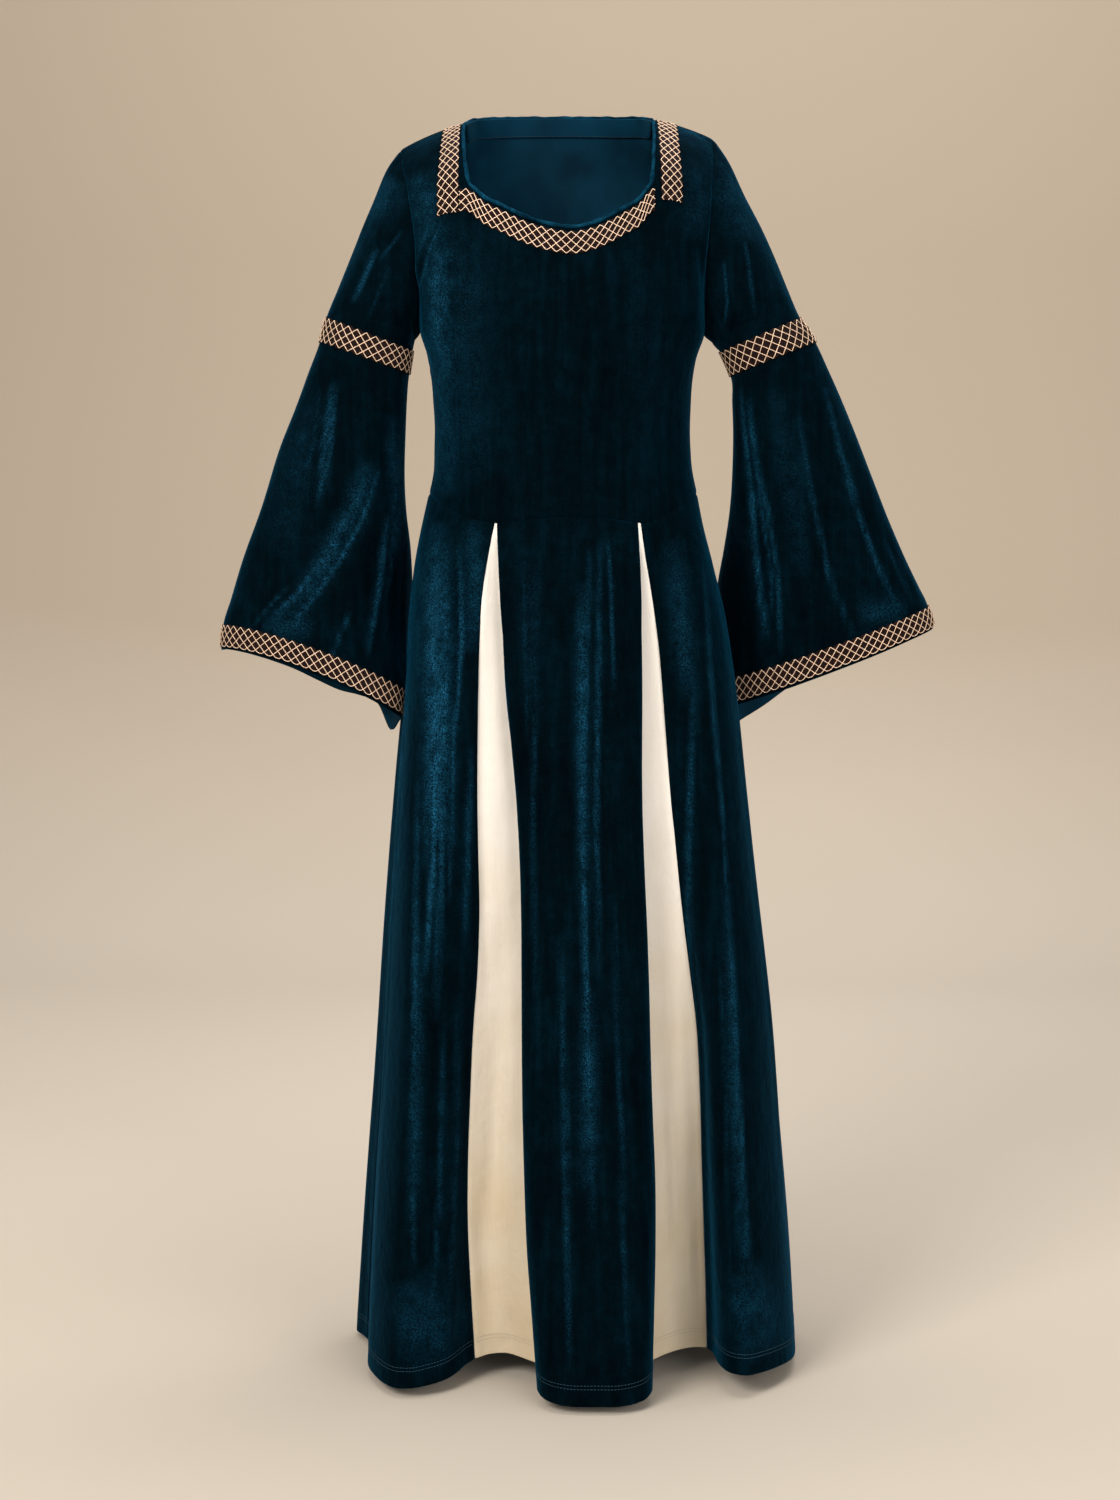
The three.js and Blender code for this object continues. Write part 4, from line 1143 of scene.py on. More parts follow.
class Graph:
    """The nodes of a material. Where a value is asked for, another node's output will do."""

    def __init__(self, name: str) -> None:
        self.material = bpy.data.materials.new(name)
        self.material.use_nodes = True
        self.tree = self.material.node_tree
        self.shader = self.tree.nodes["Principled BSDF"]

    def add(self, kind: str, settings: dict | None = None, **inputs: Any) -> bpy.types.Node:
        """Adds a node.

        Args:
            kind: The type of the node.
            settings: Properties of the node.
            **inputs: A value or another node's output for each socket, spaces as underscores.

        Returns:
            The node.
        """
        node = self.tree.nodes.new(kind)
        for name, value in (settings or {}).items():
            setattr(node, name, value)
        for name, value in inputs.items():
            self.put(node, name, value)
        return node

    def put(self, node: bpy.types.Node, name: str, value: Any) -> None:
        """Sets a socket of a node to a value or links it to another node's output."""
        key = int(name[1:]) if name[0] == "_" and name[1:].isdigit() else name.replace("_", " ")
        socket = node.inputs[key]
        if isinstance(value, bpy.types.NodeSocket):
            self.tree.links.new(value, socket)
        else:
            socket.default_value = value

    def shade(self, **inputs: Any) -> None:
        """Sets sockets of the shader."""
        for name, value in inputs.items():
            self.put(self.shader, name, value)

    def ramp(self, value: Any, *stops: tuple[float, str]) -> Any:
        """Maps a value to colours."""
        node = self.add("ShaderNodeValToRGB", _0=value)
        for element, (at, colour) in zip(node.color_ramp.elements, stops):
            element.position = at
            element.color = linear(colour)
        for at, colour in stops[2:]:
            node.color_ramp.elements.new(at).color = linear(colour)
        return node.outputs["Color"]

    def noise(self, where: Any, size: float, detail: float = 2.0, rough: float = 0.5) -> Any:
        """Gives a soft noise whose grains have a size in millimetres."""
        node = self.add("ShaderNodeTexNoise", Vector=where, Scale=per_metre(size))
        node.inputs["Detail"].default_value = detail
        node.inputs["Roughness"].default_value = rough
        return node.outputs[0]

    def streaks(self, where: Any, sizes: Key, detail: float, rough: float = 0.5) -> Any:
        """Gives a noise whose grains have a size in millimetres along each axis."""
        scale = [per_metre(size) for size in sizes]
        place = self.add("ShaderNodeMapping", Vector=where, Scale=scale).outputs[0]
        return self.noise(place, 1 / MM, detail, rough)

    def ribs(self, way: str, spacing: float, uneven: float) -> Any:
        """Gives ribs on the flat cloth.

        Args:
            way: The axis along which they follow one another.
            spacing: Their spacing in millimetres.
            uneven: How unevenly they run.

        Returns:
            Their height, from 0 to 1.
        """
        # The texture turns by 20 radians for each unit of its scale.
        scale = 2 * math.pi / 20 * per_metre(spacing)
        node = self.add("ShaderNodeTexWave", {"bands_direction": way}, Vector=self.cloth, Scale=scale)
        node.inputs["Distortion"].default_value = uneven
        return node.outputs["Fac"]

    def scaled(self, value: Any, factor: float, plus: Any = 0.0) -> Any:
        """Multiplies a value and adds another."""
        node = self.add("ShaderNodeMath", {"operation": "MULTIPLY_ADD"}, _0=value, _1=factor, _2=plus)
        return node.outputs[0]

    def times(self, first: Any, second: Any) -> Any:
        """Multiplies two values."""
        return self.add("ShaderNodeMath", {"operation": "MULTIPLY"}, _0=first, _1=second).outputs[0]

    def blend(self, share: Any, first: Any, second: Any, way: str = "MIX") -> Any:
        """Goes from one colour to another, or multiplies them if the way is MULTIPLY."""
        settings = {"data_type": "RGBA", "blend_type": way}
        return self.add("ShaderNodeMix", settings, _0=share, _6=first, _7=second).outputs[2]

    def bump(self, height: Any, depth: float, strength: float = 1.0, under: Any = None) -> Any:
        """Raises the surface.

        Args:
            height: The height, from 0 to 1.
            depth: What a height of 1 is in millimetres.
            strength: How strongly it shows.
            under: The normal that it is laid on.

        Returns:
            The normal.
        """
        node = self.add("ShaderNodeBump", Height=height, Distance=depth * MM, Strength=strength)
        if under is not None:
            self.put(node, "Normal", under)
        return node.outputs["Normal"]

    @property
    def place(self) -> Any:
        """Gives the place of a point in metres."""
        return self.add("ShaderNodeTexCoord").outputs["Object"]

    @property
    def height(self) -> Any:
        """Gives the height of a point in metres."""
        return self.add("ShaderNodeSeparateXYZ", Vector=self.place).outputs["Z"]

    @property
    def cloth(self) -> Any:
        """Gives the place of a point on the flat cloth in metres."""
        return self.add("ShaderNodeUVMap", {"uv_map": "cloth"}).outputs["UV"]


class Finish:
    """A finish of the gown. Sizes of grains and depths are millimetres."""

    def make(self, name: str) -> Material:
        """Makes the material."""
        graph = Graph(name)
        self.dress(graph)
        return graph.material

    def dress(self, g: Graph) -> None:
        """Sets the nodes of the material."""
        raise NotImplementedError


@dataclass(frozen=True)
class Velvet(Finish):
    """Velvet, woven with a dense cut pile.

    To the eye it is nearly black where the pile faces on, and blue where it leans to the light at the
    rim; a blue highlight is painted along creases and on patches where the pile is brushed flat.
    """

    # The pile from facing on to brushed a little, the highlight painted along creases and brushed patches,
    # and its rim of light.
    deep: str = "#000509"
    body: str = "#00090f"
    brushed: str = "#01111a"
    bright: str = "#236a90"
    tint: str = "#1683b4"
    sheen: float = 0.36
    # Broad clouds, the fall of the pile along the cloth, and crushed patches.
    cloud: float = 111.11
    fall: Key = (13.333, 13.333, 166.67)
    patch: float = 16.667
    crushed: float = 22.727
    # Clumps and tufts that stay up in a brushed patch and break up its painted highlight.
    clump: float = 19.231
    tuft: float = 1.5625
    # A hair is under 0.1 mm. The finest grain is drawn as coarse as the picture can show it.
    grain: float = 2.381
    hair: float = 0.66667

    def dress(self, g: Graph) -> None:
        """Mixes the tones of the pile, paints its highlight, then roughens it from crushed patches down to
        hairs.
        """
        place = g.place
        clouds = g.noise(place, self.cloud, 4.0, 0.6)
        fall = g.streaks(place, self.fall, 4.0, 0.6)
        patches = g.noise(place, self.patch, 6.0, 0.72)
        lean = g.scaled(fall, 0.44, g.scaled(patches, 0.36, g.times(clouds, 0.2)))
        tone = g.ramp(lean, (0.4, self.deep), (0.5, self.body), (0.64, self.brushed))
        tufts = g.scaled(g.noise(place, self.tuft, 3.0, 0.8), 5.0, -2.1)
        clumps = g.scaled(g.noise(place, self.clump, 4.0, 0.7), 2.6, -0.6)
        # Painted highlight: where the pile attribute is set, along crease crests and brushed lit patches,
        # the tone goes to the highlight colour.
        highlight_mask = g.add("ShaderNodeAttribute", {"attribute_name": "pile"}).outputs["Fac"]
        tone = g.blend(g.times(highlight_mask, g.times(tufts, clumps)), tone, linear(self.bright))
        hairs = g.noise(place, self.hair, 2.0, 0.7)
        grain = g.noise(place, self.grain, 3.0, 0.75)
        tone = g.blend(1.0, tone, g.scaled(hairs, 0.7, g.scaled(grain, 0.9, 0.2)), "MULTIPLY")
        crush = g.bump(g.noise(place, self.crushed, 4.0, 0.6), 4.0, 0.55)
        normal = g.bump(hairs, 0.4, 0.6, g.bump(grain, 0.8, 0.55, crush))
        g.shade(Base_Color=tone, Roughness=0.82, Normal=normal, Specular_IOR_Level=0.01)
        g.shade(Sheen_Weight=self.sheen, Sheen_Roughness=0.3, Sheen_Tint=linear(self.tint))


@dataclass(frozen=True)
class KnitBack(Finish):
    """The knitted back of the velvet, which looks smooth and matt with faint ribs of loops."""

    dark: str = "#021d2b"
    light: str = "#053349"
    cloud: float = 71.429
    # The loops are 1 mm apart, drawn a little coarser to show.
    loops: float = 1.7453

    def dress(self, g: Graph) -> None:
        """Gives a cloudy teal with ribs."""
        tone = g.ramp(g.noise(g.place, self.cloud, 3.0), (0.3, self.dark), (0.7, self.light))
        g.shade(Base_Color=tone, Roughness=0.8, Normal=g.bump(g.ribs("X", self.loops, 0.6), 0.3, 0.5))
        g.shade(Specular_IOR_Level=0.06, Sheen_Weight=0.1, Sheen_Roughness=0.5, Sheen_Tint=linear("#2f7f9c"))


@dataclass(frozen=True)
class Ivory(Finish):
    """Plain woven off-white cotton, soft and matt, with painted shade that makes it darker and warmer
    towards the hem.
    """

    # The tone at the top, and the painted shade towards the hem.
    light: str = "#dcd6ce"
    shade: str = "#c8b79a"
    drift: float = 90.909
    soft: float = 41.667
    # Threads are 0.4 mm apart, drawn at 1 mm to show. A slub is one thread thick and long.
    warp: float = 0.952
    weft: float = 1.0472
    slub: Key = (1.1111, 83.333, 1000.0)

    def dress(self, g: Graph) -> None:
        """Fades the tone with the height into a painted shade towards the hem, and lays a weave with slubs
        on soft dents.
        """
        weave = g.times(g.ribs("X", self.warp, 1.0), g.ribs("Y", self.weft, 1.0))
        fade = g.scaled(g.noise(g.place, self.drift, 3.0), 0.5, g.scaled(g.height, 0.75, 1.05))
        tone = g.ramp(fade, (0.2, self.shade), (0.8, self.light))
        slubs = g.scaled(g.streaks(g.cloth, self.slub, 3.0), 0.35, 0.82)
        dents = g.bump(g.noise(g.place, self.soft, 4.0, 0.6), 6.0, 0.5)
        g.shade(Base_Color=g.blend(0.35, tone, slubs, "MULTIPLY"), Normal=g.bump(weave, 0.3, 0.5, dents))
        g.shade(Roughness=0.85, Specular_IOR_Level=0.2, Sheen_Weight=0.15, Sheen_Roughness=0.5)


@dataclass(frozen=True)
class Ground(Finish):
    """The woven ground of the braid, chocolate brown, matt and finely ribbed across."""

    dark: str = "#0c0403"
    light: str = "#210c08"
    grain: float = 2.0
    rib: float = 0.748

    def dress(self, g: Graph) -> None:
        """Gives an uneven brown with ribs."""
        tone = g.ramp(g.noise(g.place, self.grain), (0.35, self.dark), (0.7, self.light))
        ribs = g.bump(g.ribs("X", self.rib, 0.8), 0.4, 0.7)
        g.shade(Base_Color=tone, Roughness=0.7, Specular_IOR_Level=0.12, Normal=ribs)


@dataclass(frozen=True)
class Thread(Finish):
    """A twisted thread, which glints softly where it has metal in it."""

    light: str
    dark: str
    metal: float
    rough: float
    twist: float = 0.66667

    def dress(self, g: Graph) -> None:
        """Gives light and dark turns of the twist."""
        twist = g.noise(g.place, self.twist, 2.0, 0.6)
        tone = g.ramp(twist, (0.3, self.dark), (0.62, self.light))
        g.shade(Base_Color=tone, Metallic=self.metal, Roughness=self.rough, Normal=g.bump(twist, 0.3, 0.6))


@dataclass(frozen=True)
class Sweep(Finish):
    """A matt paper backdrop in a warm beige, with painted light: lighter on the floor and a painted shade up
    the wall.
    """

    # The paper on the floor, and the painted shade that darkens it up the wall.
    floor: str = "#bcb3a7"
    wall: str = "#a59888"
    drift: float = 1250.0
    fibre: float = 3.8462

    def dress(self, g: Graph) -> None:
        """Goes from the floor's tone to the painted shade of the wall with the height."""
        rise = g.scaled(g.noise(g.place, self.drift), 0.2, g.scaled(g.height, 0.8, 1.1))
        tone = g.ramp(rise, (0.0, self.floor), (0.6, self.wall))
        fibre = g.bump(g.noise(g.place, self.fibre, 3.0), 0.6, 0.25)
        g.shade(Base_Color=tone, Roughness=0.95, Specular_IOR_Level=0.1, Normal=fibre)


def grid_quads(rows: int, columns: int, tube: bool = False) -> np.ndarray:
    """Numbers the faces of a grid of points, whose columns close on themselves in a tube."""
    r, c = np.meshgrid(np.arange(rows - 1), np.arange(columns if tube else columns - 1), indexing="ij")
    low, n = r * columns, (c + 1) % columns
    high = low + columns
    return np.stack([low + c, low + n, high + n, high + c], axis=-1)


def interpolate(at: np.ndarray, length: np.ndarray, points: np.ndarray) -> np.ndarray:
    """Reads points along a line at lengths from its start."""
    return np.stack([np.interp(at, length, points[:, axis]) for axis in range(3)], axis=-1)


def make_object(
    name: str,
    vertices: np.ndarray,
    quads: np.ndarray,
    materials: Sequence[Material],
    kinds: np.ndarray | None = None,
    uv: np.ndarray | None = None,
) -> Made:
    """Makes a smooth mesh object.

    Args:
        name: The name of the object.
        vertices: Its points in millimetres.
        quads: Its faces as rows of four numbers.
        materials: Its materials.
        kinds: The material number of each face.
        uv: The place of each vertex on the flat cloth in metres.

    Returns:
        The object.
    """
    mesh = bpy.data.meshes.new(name)
    mesh.vertices.add(len(vertices))
    mesh.vertices.foreach_set("co", (np.asarray(vertices) * MM).ravel())
    mesh.loops.add(quads.size)
    mesh.loops.foreach_set("vertex_index", quads.ravel().astype(np.int32))
    mesh.polygons.add(len(quads))
    mesh.polygons.foreach_set("loop_start", np.arange(0, quads.size, 4, dtype=np.int32))
    mesh.polygons.foreach_set("use_smooth", np.ones(len(quads), dtype=bool))
    if kinds is not None:
        mesh.polygons.foreach_set("material_index", np.asarray(kinds, dtype=np.int32))
    if uv is not None:
        layer = mesh.uv_layers.new(name="cloth")
        layer.data.foreach_set("uv", uv[quads.ravel()].ravel())
    for material in materials:
        mesh.materials.append(material)
    mesh.update(calc_edges=True)
    mesh.validate()
    made = bpy.data.objects.new(name, mesh)
    bpy.context.scene.collection.objects.link(made)
    return made


def shell(name: str, surface: Surface, wall: float, outside: Material, inside: Material) -> Made:
    """Makes the closed thin shell of a piece of cloth.

    Args:
        name: The name of the object.
        surface: The middle surface.
        wall: The thickness.
        outside: The material of the right side.
        inside: The material of the wrong side.

    Returns:
        The object.
    """
    rows, columns = surface.points.shape[:2]
    quads = grid_quads(rows, columns, surface.tube)
    if surface.missing is not None:
        quads = quads[~surface.missing[:quads.shape[0], :quads.shape[1]]]
    quads = quads.reshape(-1, 4)
    if surface.flip:
        quads = quads[:, ::-1]
    count = rows * columns
    rim = open_edges(quads)
    strips = np.stack([rim[:, 1], rim[:, 0], rim[:, 0] + count, rim[:, 1] + count], axis=1)
    faces = np.vstack([quads, quads[:, ::-1] + count, strips])
    kinds = np.r_[np.zeros(len(quads)), np.ones(len(quads)), np.zeros(len(strips))]
    half = surface.normals * wall / 2
    points = np.concatenate([(surface.points + half).reshape(-1, 3), (surface.points - half).reshape(-1, 3)])
    along = flat_places(surface)
    uv = np.concatenate([along, along]) * MM
    used, faces = np.unique(faces, return_inverse=True)
    faces = faces.reshape(-1, 4)
    made = make_object(name, points[used], faces, (outside, inside), kinds, uv[used])
    # The strength of the highlight painted on the pile, kept as an attribute for the velvet.
    if surface.pile is not None:
        pile = np.tile(np.nan_to_num(surface.pile).ravel(), 2)[used]
        layer = made.data.attributes.new("pile", "FLOAT", "POINT")
        layer.data.foreach_set("value", pile.astype(np.float32))
    return made


def open_edges(quads: np.ndarray) -> np.ndarray:
    """Finds the edges that only one face has."""
    edges = np.concatenate([quads[:, [i, (i + 1) % 4]] for i in range(4)])
    key = np.sort(edges, axis=1)
    _, first, uses = np.unique(key, axis=0, return_index=True, return_counts=True)
    return edges[first[uses == 1]]


def flat_places(surface: Surface) -> np.ndarray:
    """Gives each point its place on the flat cloth."""
    p = np.nan_to_num(surface.points)
    across = np.linalg.norm(np.diff(p, axis=1, prepend=p[:, :1]), axis=2).mean(axis=0).cumsum()
    up = np.linalg.norm(np.diff(p, axis=0, prepend=p[:1]), axis=2).mean(axis=1).cumsum()
    return np.stack(np.meshgrid(across, up), axis=-1).reshape(-1, 2)


@dataclass
class Ribbon:
    """A strip that lies on a surface, read by its length and by the share of its width."""

    points: Grid
    normals: Grid
    length: np.ndarray = field(init=False)

    def __post_init__(self) -> None:
        """Measures the middle line."""
        middle = self.points[len(self.points) // 2]
        steps = np.linalg.norm(np.diff(middle, axis=0), axis=1)
        self.length = np.r_[0, steps.cumsum()]

    def at(self, along: np.ndarray, share: np.ndarray, lift: np.ndarray | float) -> np.ndarray:
        """Gives points of the ribbon.

        Args:
            along: Lengths along the middle.
            share: Shares of the width, from 0 to 1.
            lift: How far each point stands off the surface.

        Returns:
            The points.
        """
        rows = len(self.points) - 1
        i = np.clip(np.searchsorted(self.length, along, side="right") - 1, 0, len(self.length) - 2)
        t = ((along - self.length[i]) / (self.length[i + 1] - self.length[i]))[..., None]
        place = np.clip(share, 0, 1) * rows
        r = np.clip(place.astype(int), 0, rows - 1)
        u = (place - r)[..., None]

        def pick(grid: Grid) -> np.ndarray:
            """Reads a grid between its rows and columns."""
            low = mix(grid[r, i], grid[r, i + 1], t)
            high = mix(grid[r + 1, i], grid[r + 1, i + 1], t)
            return mix(low, high, u)

        normal = pick(self.normals)
        normal /= np.linalg.norm(normal, axis=-1, keepdims=True)
        return pick(self.points) + normal * np.asarray(lift)[..., None]


def tube_rings(path: np.ndarray, up: np.ndarray, way: np.ndarray, half: np.ndarray, sides: int) -> Grid:
    """Sets oval rings along a path.

    Args:
        path: The middle of each ring.
        up: The direction away from the cloth there.
        way: The direction of the path there.
        half: Half the width and half the height of each ring.
        sides: The number of points of a ring.

    Returns:
        The rings.
    """
    way = way / np.maximum(np.linalg.norm(way, axis=1, keepdims=True), 1e-9)
    side = np.cross(way, up)
    side /= np.maximum(np.linalg.norm(side, axis=1, keepdims=True), 1e-9)
    lift = np.cross(side, way)
    turn = np.arange(sides) * 2 * math.pi / sides
    ring = path[:, None] + side[:, None] * (np.cos(turn) * half[:, :1])[..., None]
    return ring + lift[:, None] * (np.sin(turn) * half[:, 1:])[..., None]


def tubes(paths: Sequence[np.ndarray], ups: Sequence[np.ndarray], wide: float, high: float) -> Mesh:
    """Makes flattened threads with closed ends.

    Args:
        paths: The middle line of each thread.
        ups: The direction away from the cloth at each point.
        wide: Half the width of a thread.
        high: Half its height.

    Returns:
        The points and the faces of all the threads.
    """
    points, faces, start = [], [], 0
    caps = np.array([[5, 4, 3, 0], [3, 2, 1, 0]])
    for path, up in zip(paths, ups):
        count = len(path)
        half = np.tile([wide, high], (count, 1))
        points.append(tube_rings(path, up, np.gradient(path, axis=0), half, THREAD_SIDES).reshape(-1, 3))
        walls = grid_quads(count, THREAD_SIDES, tube=True).reshape(-1, 4)
        faces.append(np.vstack([walls, caps, caps[:, ::-1] + (count - 1) * THREAD_SIDES]) + start)
        start += count * THREAD_SIDES
    return np.vstack(points), np.vstack(faces)


def ring_tube(path: np.ndarray, up: np.ndarray, wide: np.ndarray, high: np.ndarray) -> Mesh:
    """Makes a closed soft roll.

    Args:
        path: Its middle line, which closes on itself.
        up: The direction away from the cloth at each point.
        wide: Half its width at each point.
        high: Half its height at each point.

    Returns:
        The points and the faces.
    """
    way = np.roll(path, -1, axis=0) - np.roll(path, 1, axis=0)
    ring = tube_rings(path, up, way, np.stack([wide, high], axis=1), ROLL_SIDES)
    faces = grid_quads(len(path) + 1, ROLL_SIDES, tube=True) % (len(path) * ROLL_SIDES)
    return ring.reshape(-1, 3), faces.reshape(-1, 4)


def surface_line(surface: Surface, edge: int, away: float) -> Mesh:
    """Gives a line on the outside of a surface, at a distance from its first or last row.

    Args:
        surface: The surface.
        edge: 0 for the first row, or -1 for the last.
        away: The distance.

    Returns:
        The points and the direction away from the cloth at each.
    """
    points = surface.points if edge == 0 else surface.points[::-1]
    normals = surface.normals if edge == 0 else surface.normals[::-1]
    steps = np.linalg.norm(np.diff(points, axis=0), axis=2)
    down = np.concatenate([np.zeros((1, points.shape[1])), steps.cumsum(axis=0)])
    columns = range(points.shape[1])
    path = np.array([interpolate(away, down[:, column], points[:, column]) for column in columns])
    up = np.array([interpolate(away, down[:, column], normals[:, column]) for column in columns])
    return path + up * VELVET_WALL / 2, up


@dataclass(frozen=True)
class Finishes:
    """The materials of the gown, by what they are."""

    velvet: Material
    knit: Material
    rolled: Material
    ivory: Material
    ground: Material
    copper: Material
    teal_thread: Material
    pale_thread: Material

    @classmethod
    def make(cls) -> "Finishes":
        """Makes them all."""
        return cls(
            velvet=Velvet().make("teal_pile_velvet"),
            knit=KnitBack().make("knitted_velvet_back"),
            # The rolled edge is a lighter copy of the velvet: painted sheen where the roll of pile catches
            # the light.
            rolled=Velvet("#00101a", "#042536", "#0d4259").make("raised_pile_of_rolled_edge"),
            ivory=Ivory().make("ivory_plain_weave"),
            ground=Ground().make("brown_ribbed_braid_ground"),
            copper=Thread("#f7dcc2", "#b3835e", 0.3, 0.4).make("rose_copper_braid_thread"),
            teal_thread=Thread("#0c3f54", "#041c28", 0.0, 0.7).make("teal_sewing_thread"),
            pale_thread=Thread("#c9c0ad", "#8d8676", 0.0, 0.7).make("pale_sewing_thread"),
        )


@dataclass(frozen=True)
class Cut:
    """How a piece is cut and held.

    Attributes:
        width: The width of the cloth that it is cut from, in metres; all round for a tube.
        length: The length of that cloth in metres.
        area: The area of the cut shape in square metres.
        rests_on: The pieces that it hangs from or lies on.
        held: How it is held.
    """

    width: float
    length: float
    area: float
    rests_on: tuple[str, ...] = ()
    held: str = "hung"


SKIRT_HANGS = ("bodice_front", "bodice_back")
CUTS = {
    "bodice_front": Cut(0.48, 0.49, 0.162, ("bodice_back",)),
    "bodice_back": Cut(0.45, 0.475, 0.168, ("bodice_front",)),
    "upper_sleeve_right": Cut(0.494, 0.225, 0.046, SKIRT_HANGS),
    "upper_sleeve_left": Cut(0.515, 0.245, 0.05, SKIRT_HANGS),
    "lower_sleeve_right": Cut(0.59, 0.445, 0.176, ("upper_sleeve_right",)),
    "lower_sleeve_left": Cut(0.69, 0.45, 0.186, ("upper_sleeve_left",)),
    "skirt_side_right": Cut(0.315, 1.01, 0.221, SKIRT_HANGS),
    "skirt_side_left": Cut(0.33, 1.01, 0.22, SKIRT_HANGS),
    "skirt_centre": Cut(0.27, 0.985, 0.211, ("bodice_front",)),
    "skirt_back": Cut(0.78, 1.017, 0.616, ("bodice_back",)),
    "godet_right": Cut(0.118, 0.961, 0.0766, ("skirt_centre", "skirt_side_right")),
    "godet_left": Cut(0.113, 0.96, 0.064, ("skirt_centre", "skirt_side_left")),
    "back_neck_facing": Cut(0.276, 0.026, 0.0067, ("bodice_back",), "laid"),
    "neck_trim": Cut(0.251, 0.026, 0.0058, ("bodice_front",), "laid"),
    "strap_trim_right": Cut(0.14, 0.025, 0.0034, ("bodice_front",), "laid"),
    "strap_trim_left": Cut(0.14, 0.025, 0.0034, ("bodice_front",), "laid"),
    "arm_band_right": Cut(0.338, 0.0285, 0.0093, ("upper_sleeve_right", "lower_sleeve_right"), "laid"),
    "arm_band_left": Cut(0.335, 0.032, 0.0103, ("upper_sleeve_left", "lower_sleeve_left"), "laid"),
    "hem_trim_right": Cut(0.607, 0.0275, 0.0156, ("lower_sleeve_right",), "laid"),
    "hem_trim_left": Cut(0.707, 0.0275, 0.0186, ("lower_sleeve_left",), "laid"),
}


@dataclass
class Piece:
    """One sewn piece of cloth and what it stands for."""

    name: str
    surface: Surface
    wall: float
    outside: Material
    inside: Material
    slot: str

    def build(self) -> Made:
        """Makes the object, hangs it on the body and hides the solid that it replaces."""
        made = shell(self.name + "_cloth", self.surface, self.wall, self.outside, self.inside)
        hand_over(made, self.slot, self.name)
        return made


def hand_over(made: Made, slot: str, solid: str = "") -> None:
    """Hangs a finished piece on the body, hides the solid that it replaces and reports it.

    Args:
        made: The piece.
        slot: The slot of its colour; not used.
        solid: The name of the solid that it replaces.
    """
    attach(made, BODY)
    if solid:
        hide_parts(solid)
    log.info("%s: %d faces", made.name, len(made.data.polygons))


@dataclass
class Drape:
    """The creases and the ripple that a piece of cloth takes."""

    creases: tuple[Crease, ...]
    ripple: Ripple

    def shape(self, surface: Surface, sewn: str = "") -> None:
        """Moves the points of a surface out along its normals.

        Args:
            surface: The surface.
            sewn: The edges that are sewn, as seam_dip reads them.
        """
        lift = self.ripple.lift(surface.points)
        # Each crease also gives the strength of the highlight painted on its pile.
        surface.pile = np.zeros(surface.points.shape[:2])
        for crease in self.creases:
            high, bright = crease.lift(surface.points, surface.normals)
            lift = lift + high
            surface.pile = np.maximum(surface.pile, bright)
        dip = seam_dip(surface, sewn) if sewn else 0.0
        surface.points = surface.points + surface.normals * (lift + dip)[..., None]
        surface.measure()


def creases(face: Face, rows: Sequence[tuple]) -> tuple[Crease, ...]:
    """Makes the creases of a table: half width, height and the points."""
    return tuple(Crease(face, line, wide, high) for wide, high, *line in rows)


def brushed(face: Face, rows: Sequence[tuple]) -> tuple[Crease, ...]:
    """Makes the brushed patches of a table, as highlights painted on the pile: half width, strength of the
    painted highlight and the points.
    """
    return tuple(Crease(face, line, wide, 0.0, bright) for wide, bright, *line in rows)


# Creases lift the cloth; the higher ones also get a highlight painted along their crests.
BODICE_CREASES = creases(Face.FRONT, [
    (6, -3.2, (-132, 120), (-147, 151), (-158, 190), (-163, 228)),
    (5, 2.6, (-139, 112), (-154, 146), (-166, 190)),
    (5, -1.6, (156, 140), (163, 195), (170, 240)),
    (6, 1.8, (148, 150), (153, 205), (150, 262)),
    (16, 0.8, (-126, 318), (-96, 338), (-60, 344)),
    (14, -0.8, (132, 336), (104, 352), (66, 356)),
    (9, 1.0, (-104, 262), (-112, 330), (-104, 420)),
    (9, -1.0, (118, 262), (112, 330), (104, 425)),
]) + creases(Face.BACK, [
    (12, -2.2, (-138, 140), (-112, 196), (-96, 262)),
    (11, 2.0, (-120, 128), (-92, 190), (-80, 250)),
    (12, -2.0, (140, 146), (116, 204), (98, 258)),
    (12, 1.8, (118, 132), (96, 184), (84, 252)),
    (16, 1.8, (-110, 330), (-40, 346), (26, 340)),
    (14, -1.7, (112, 352), (50, 364), (-18, 358)),
    (15, 1.5, (-104, 386), (-30, 398), (52, 390)),
    (10, 1.2, (-36, 40), (-20, 110), (-26, 190)),
    (11, -1.0, (30, 34), (26, 110), (38, 176)),
])
# Brushed patches: highlights painted on the pile where it is brushed and lit.
BODICE_CREASES += brushed(Face.FRONT, [
    (15, 0.48, (-133, 118), (-136, 200), (-137, 300), (-130, 425)),
    (38, 0.12, (-112, 120), (-118, 260), (-112, 420)),
    (20, 0.24, (-160, 60), (-150, 100), (-150, 150)),
    (18, 0.12, (150, 50), (156, 90), (150, 140)),
    (26, 0.04, (90, 150), (104, 280), (100, 410)),
]) + brushed(Face.BACK, [
    (30, 0.28, (-120, 60), (-124, 200), (-116, 330), (-120, 425)),
    (24, 0.24, (110, 60), (120, 190), (112, 330), (120, 420)),
    (34, 0.16, (-10, 30), (-6, 180), (-14, 400)),
])
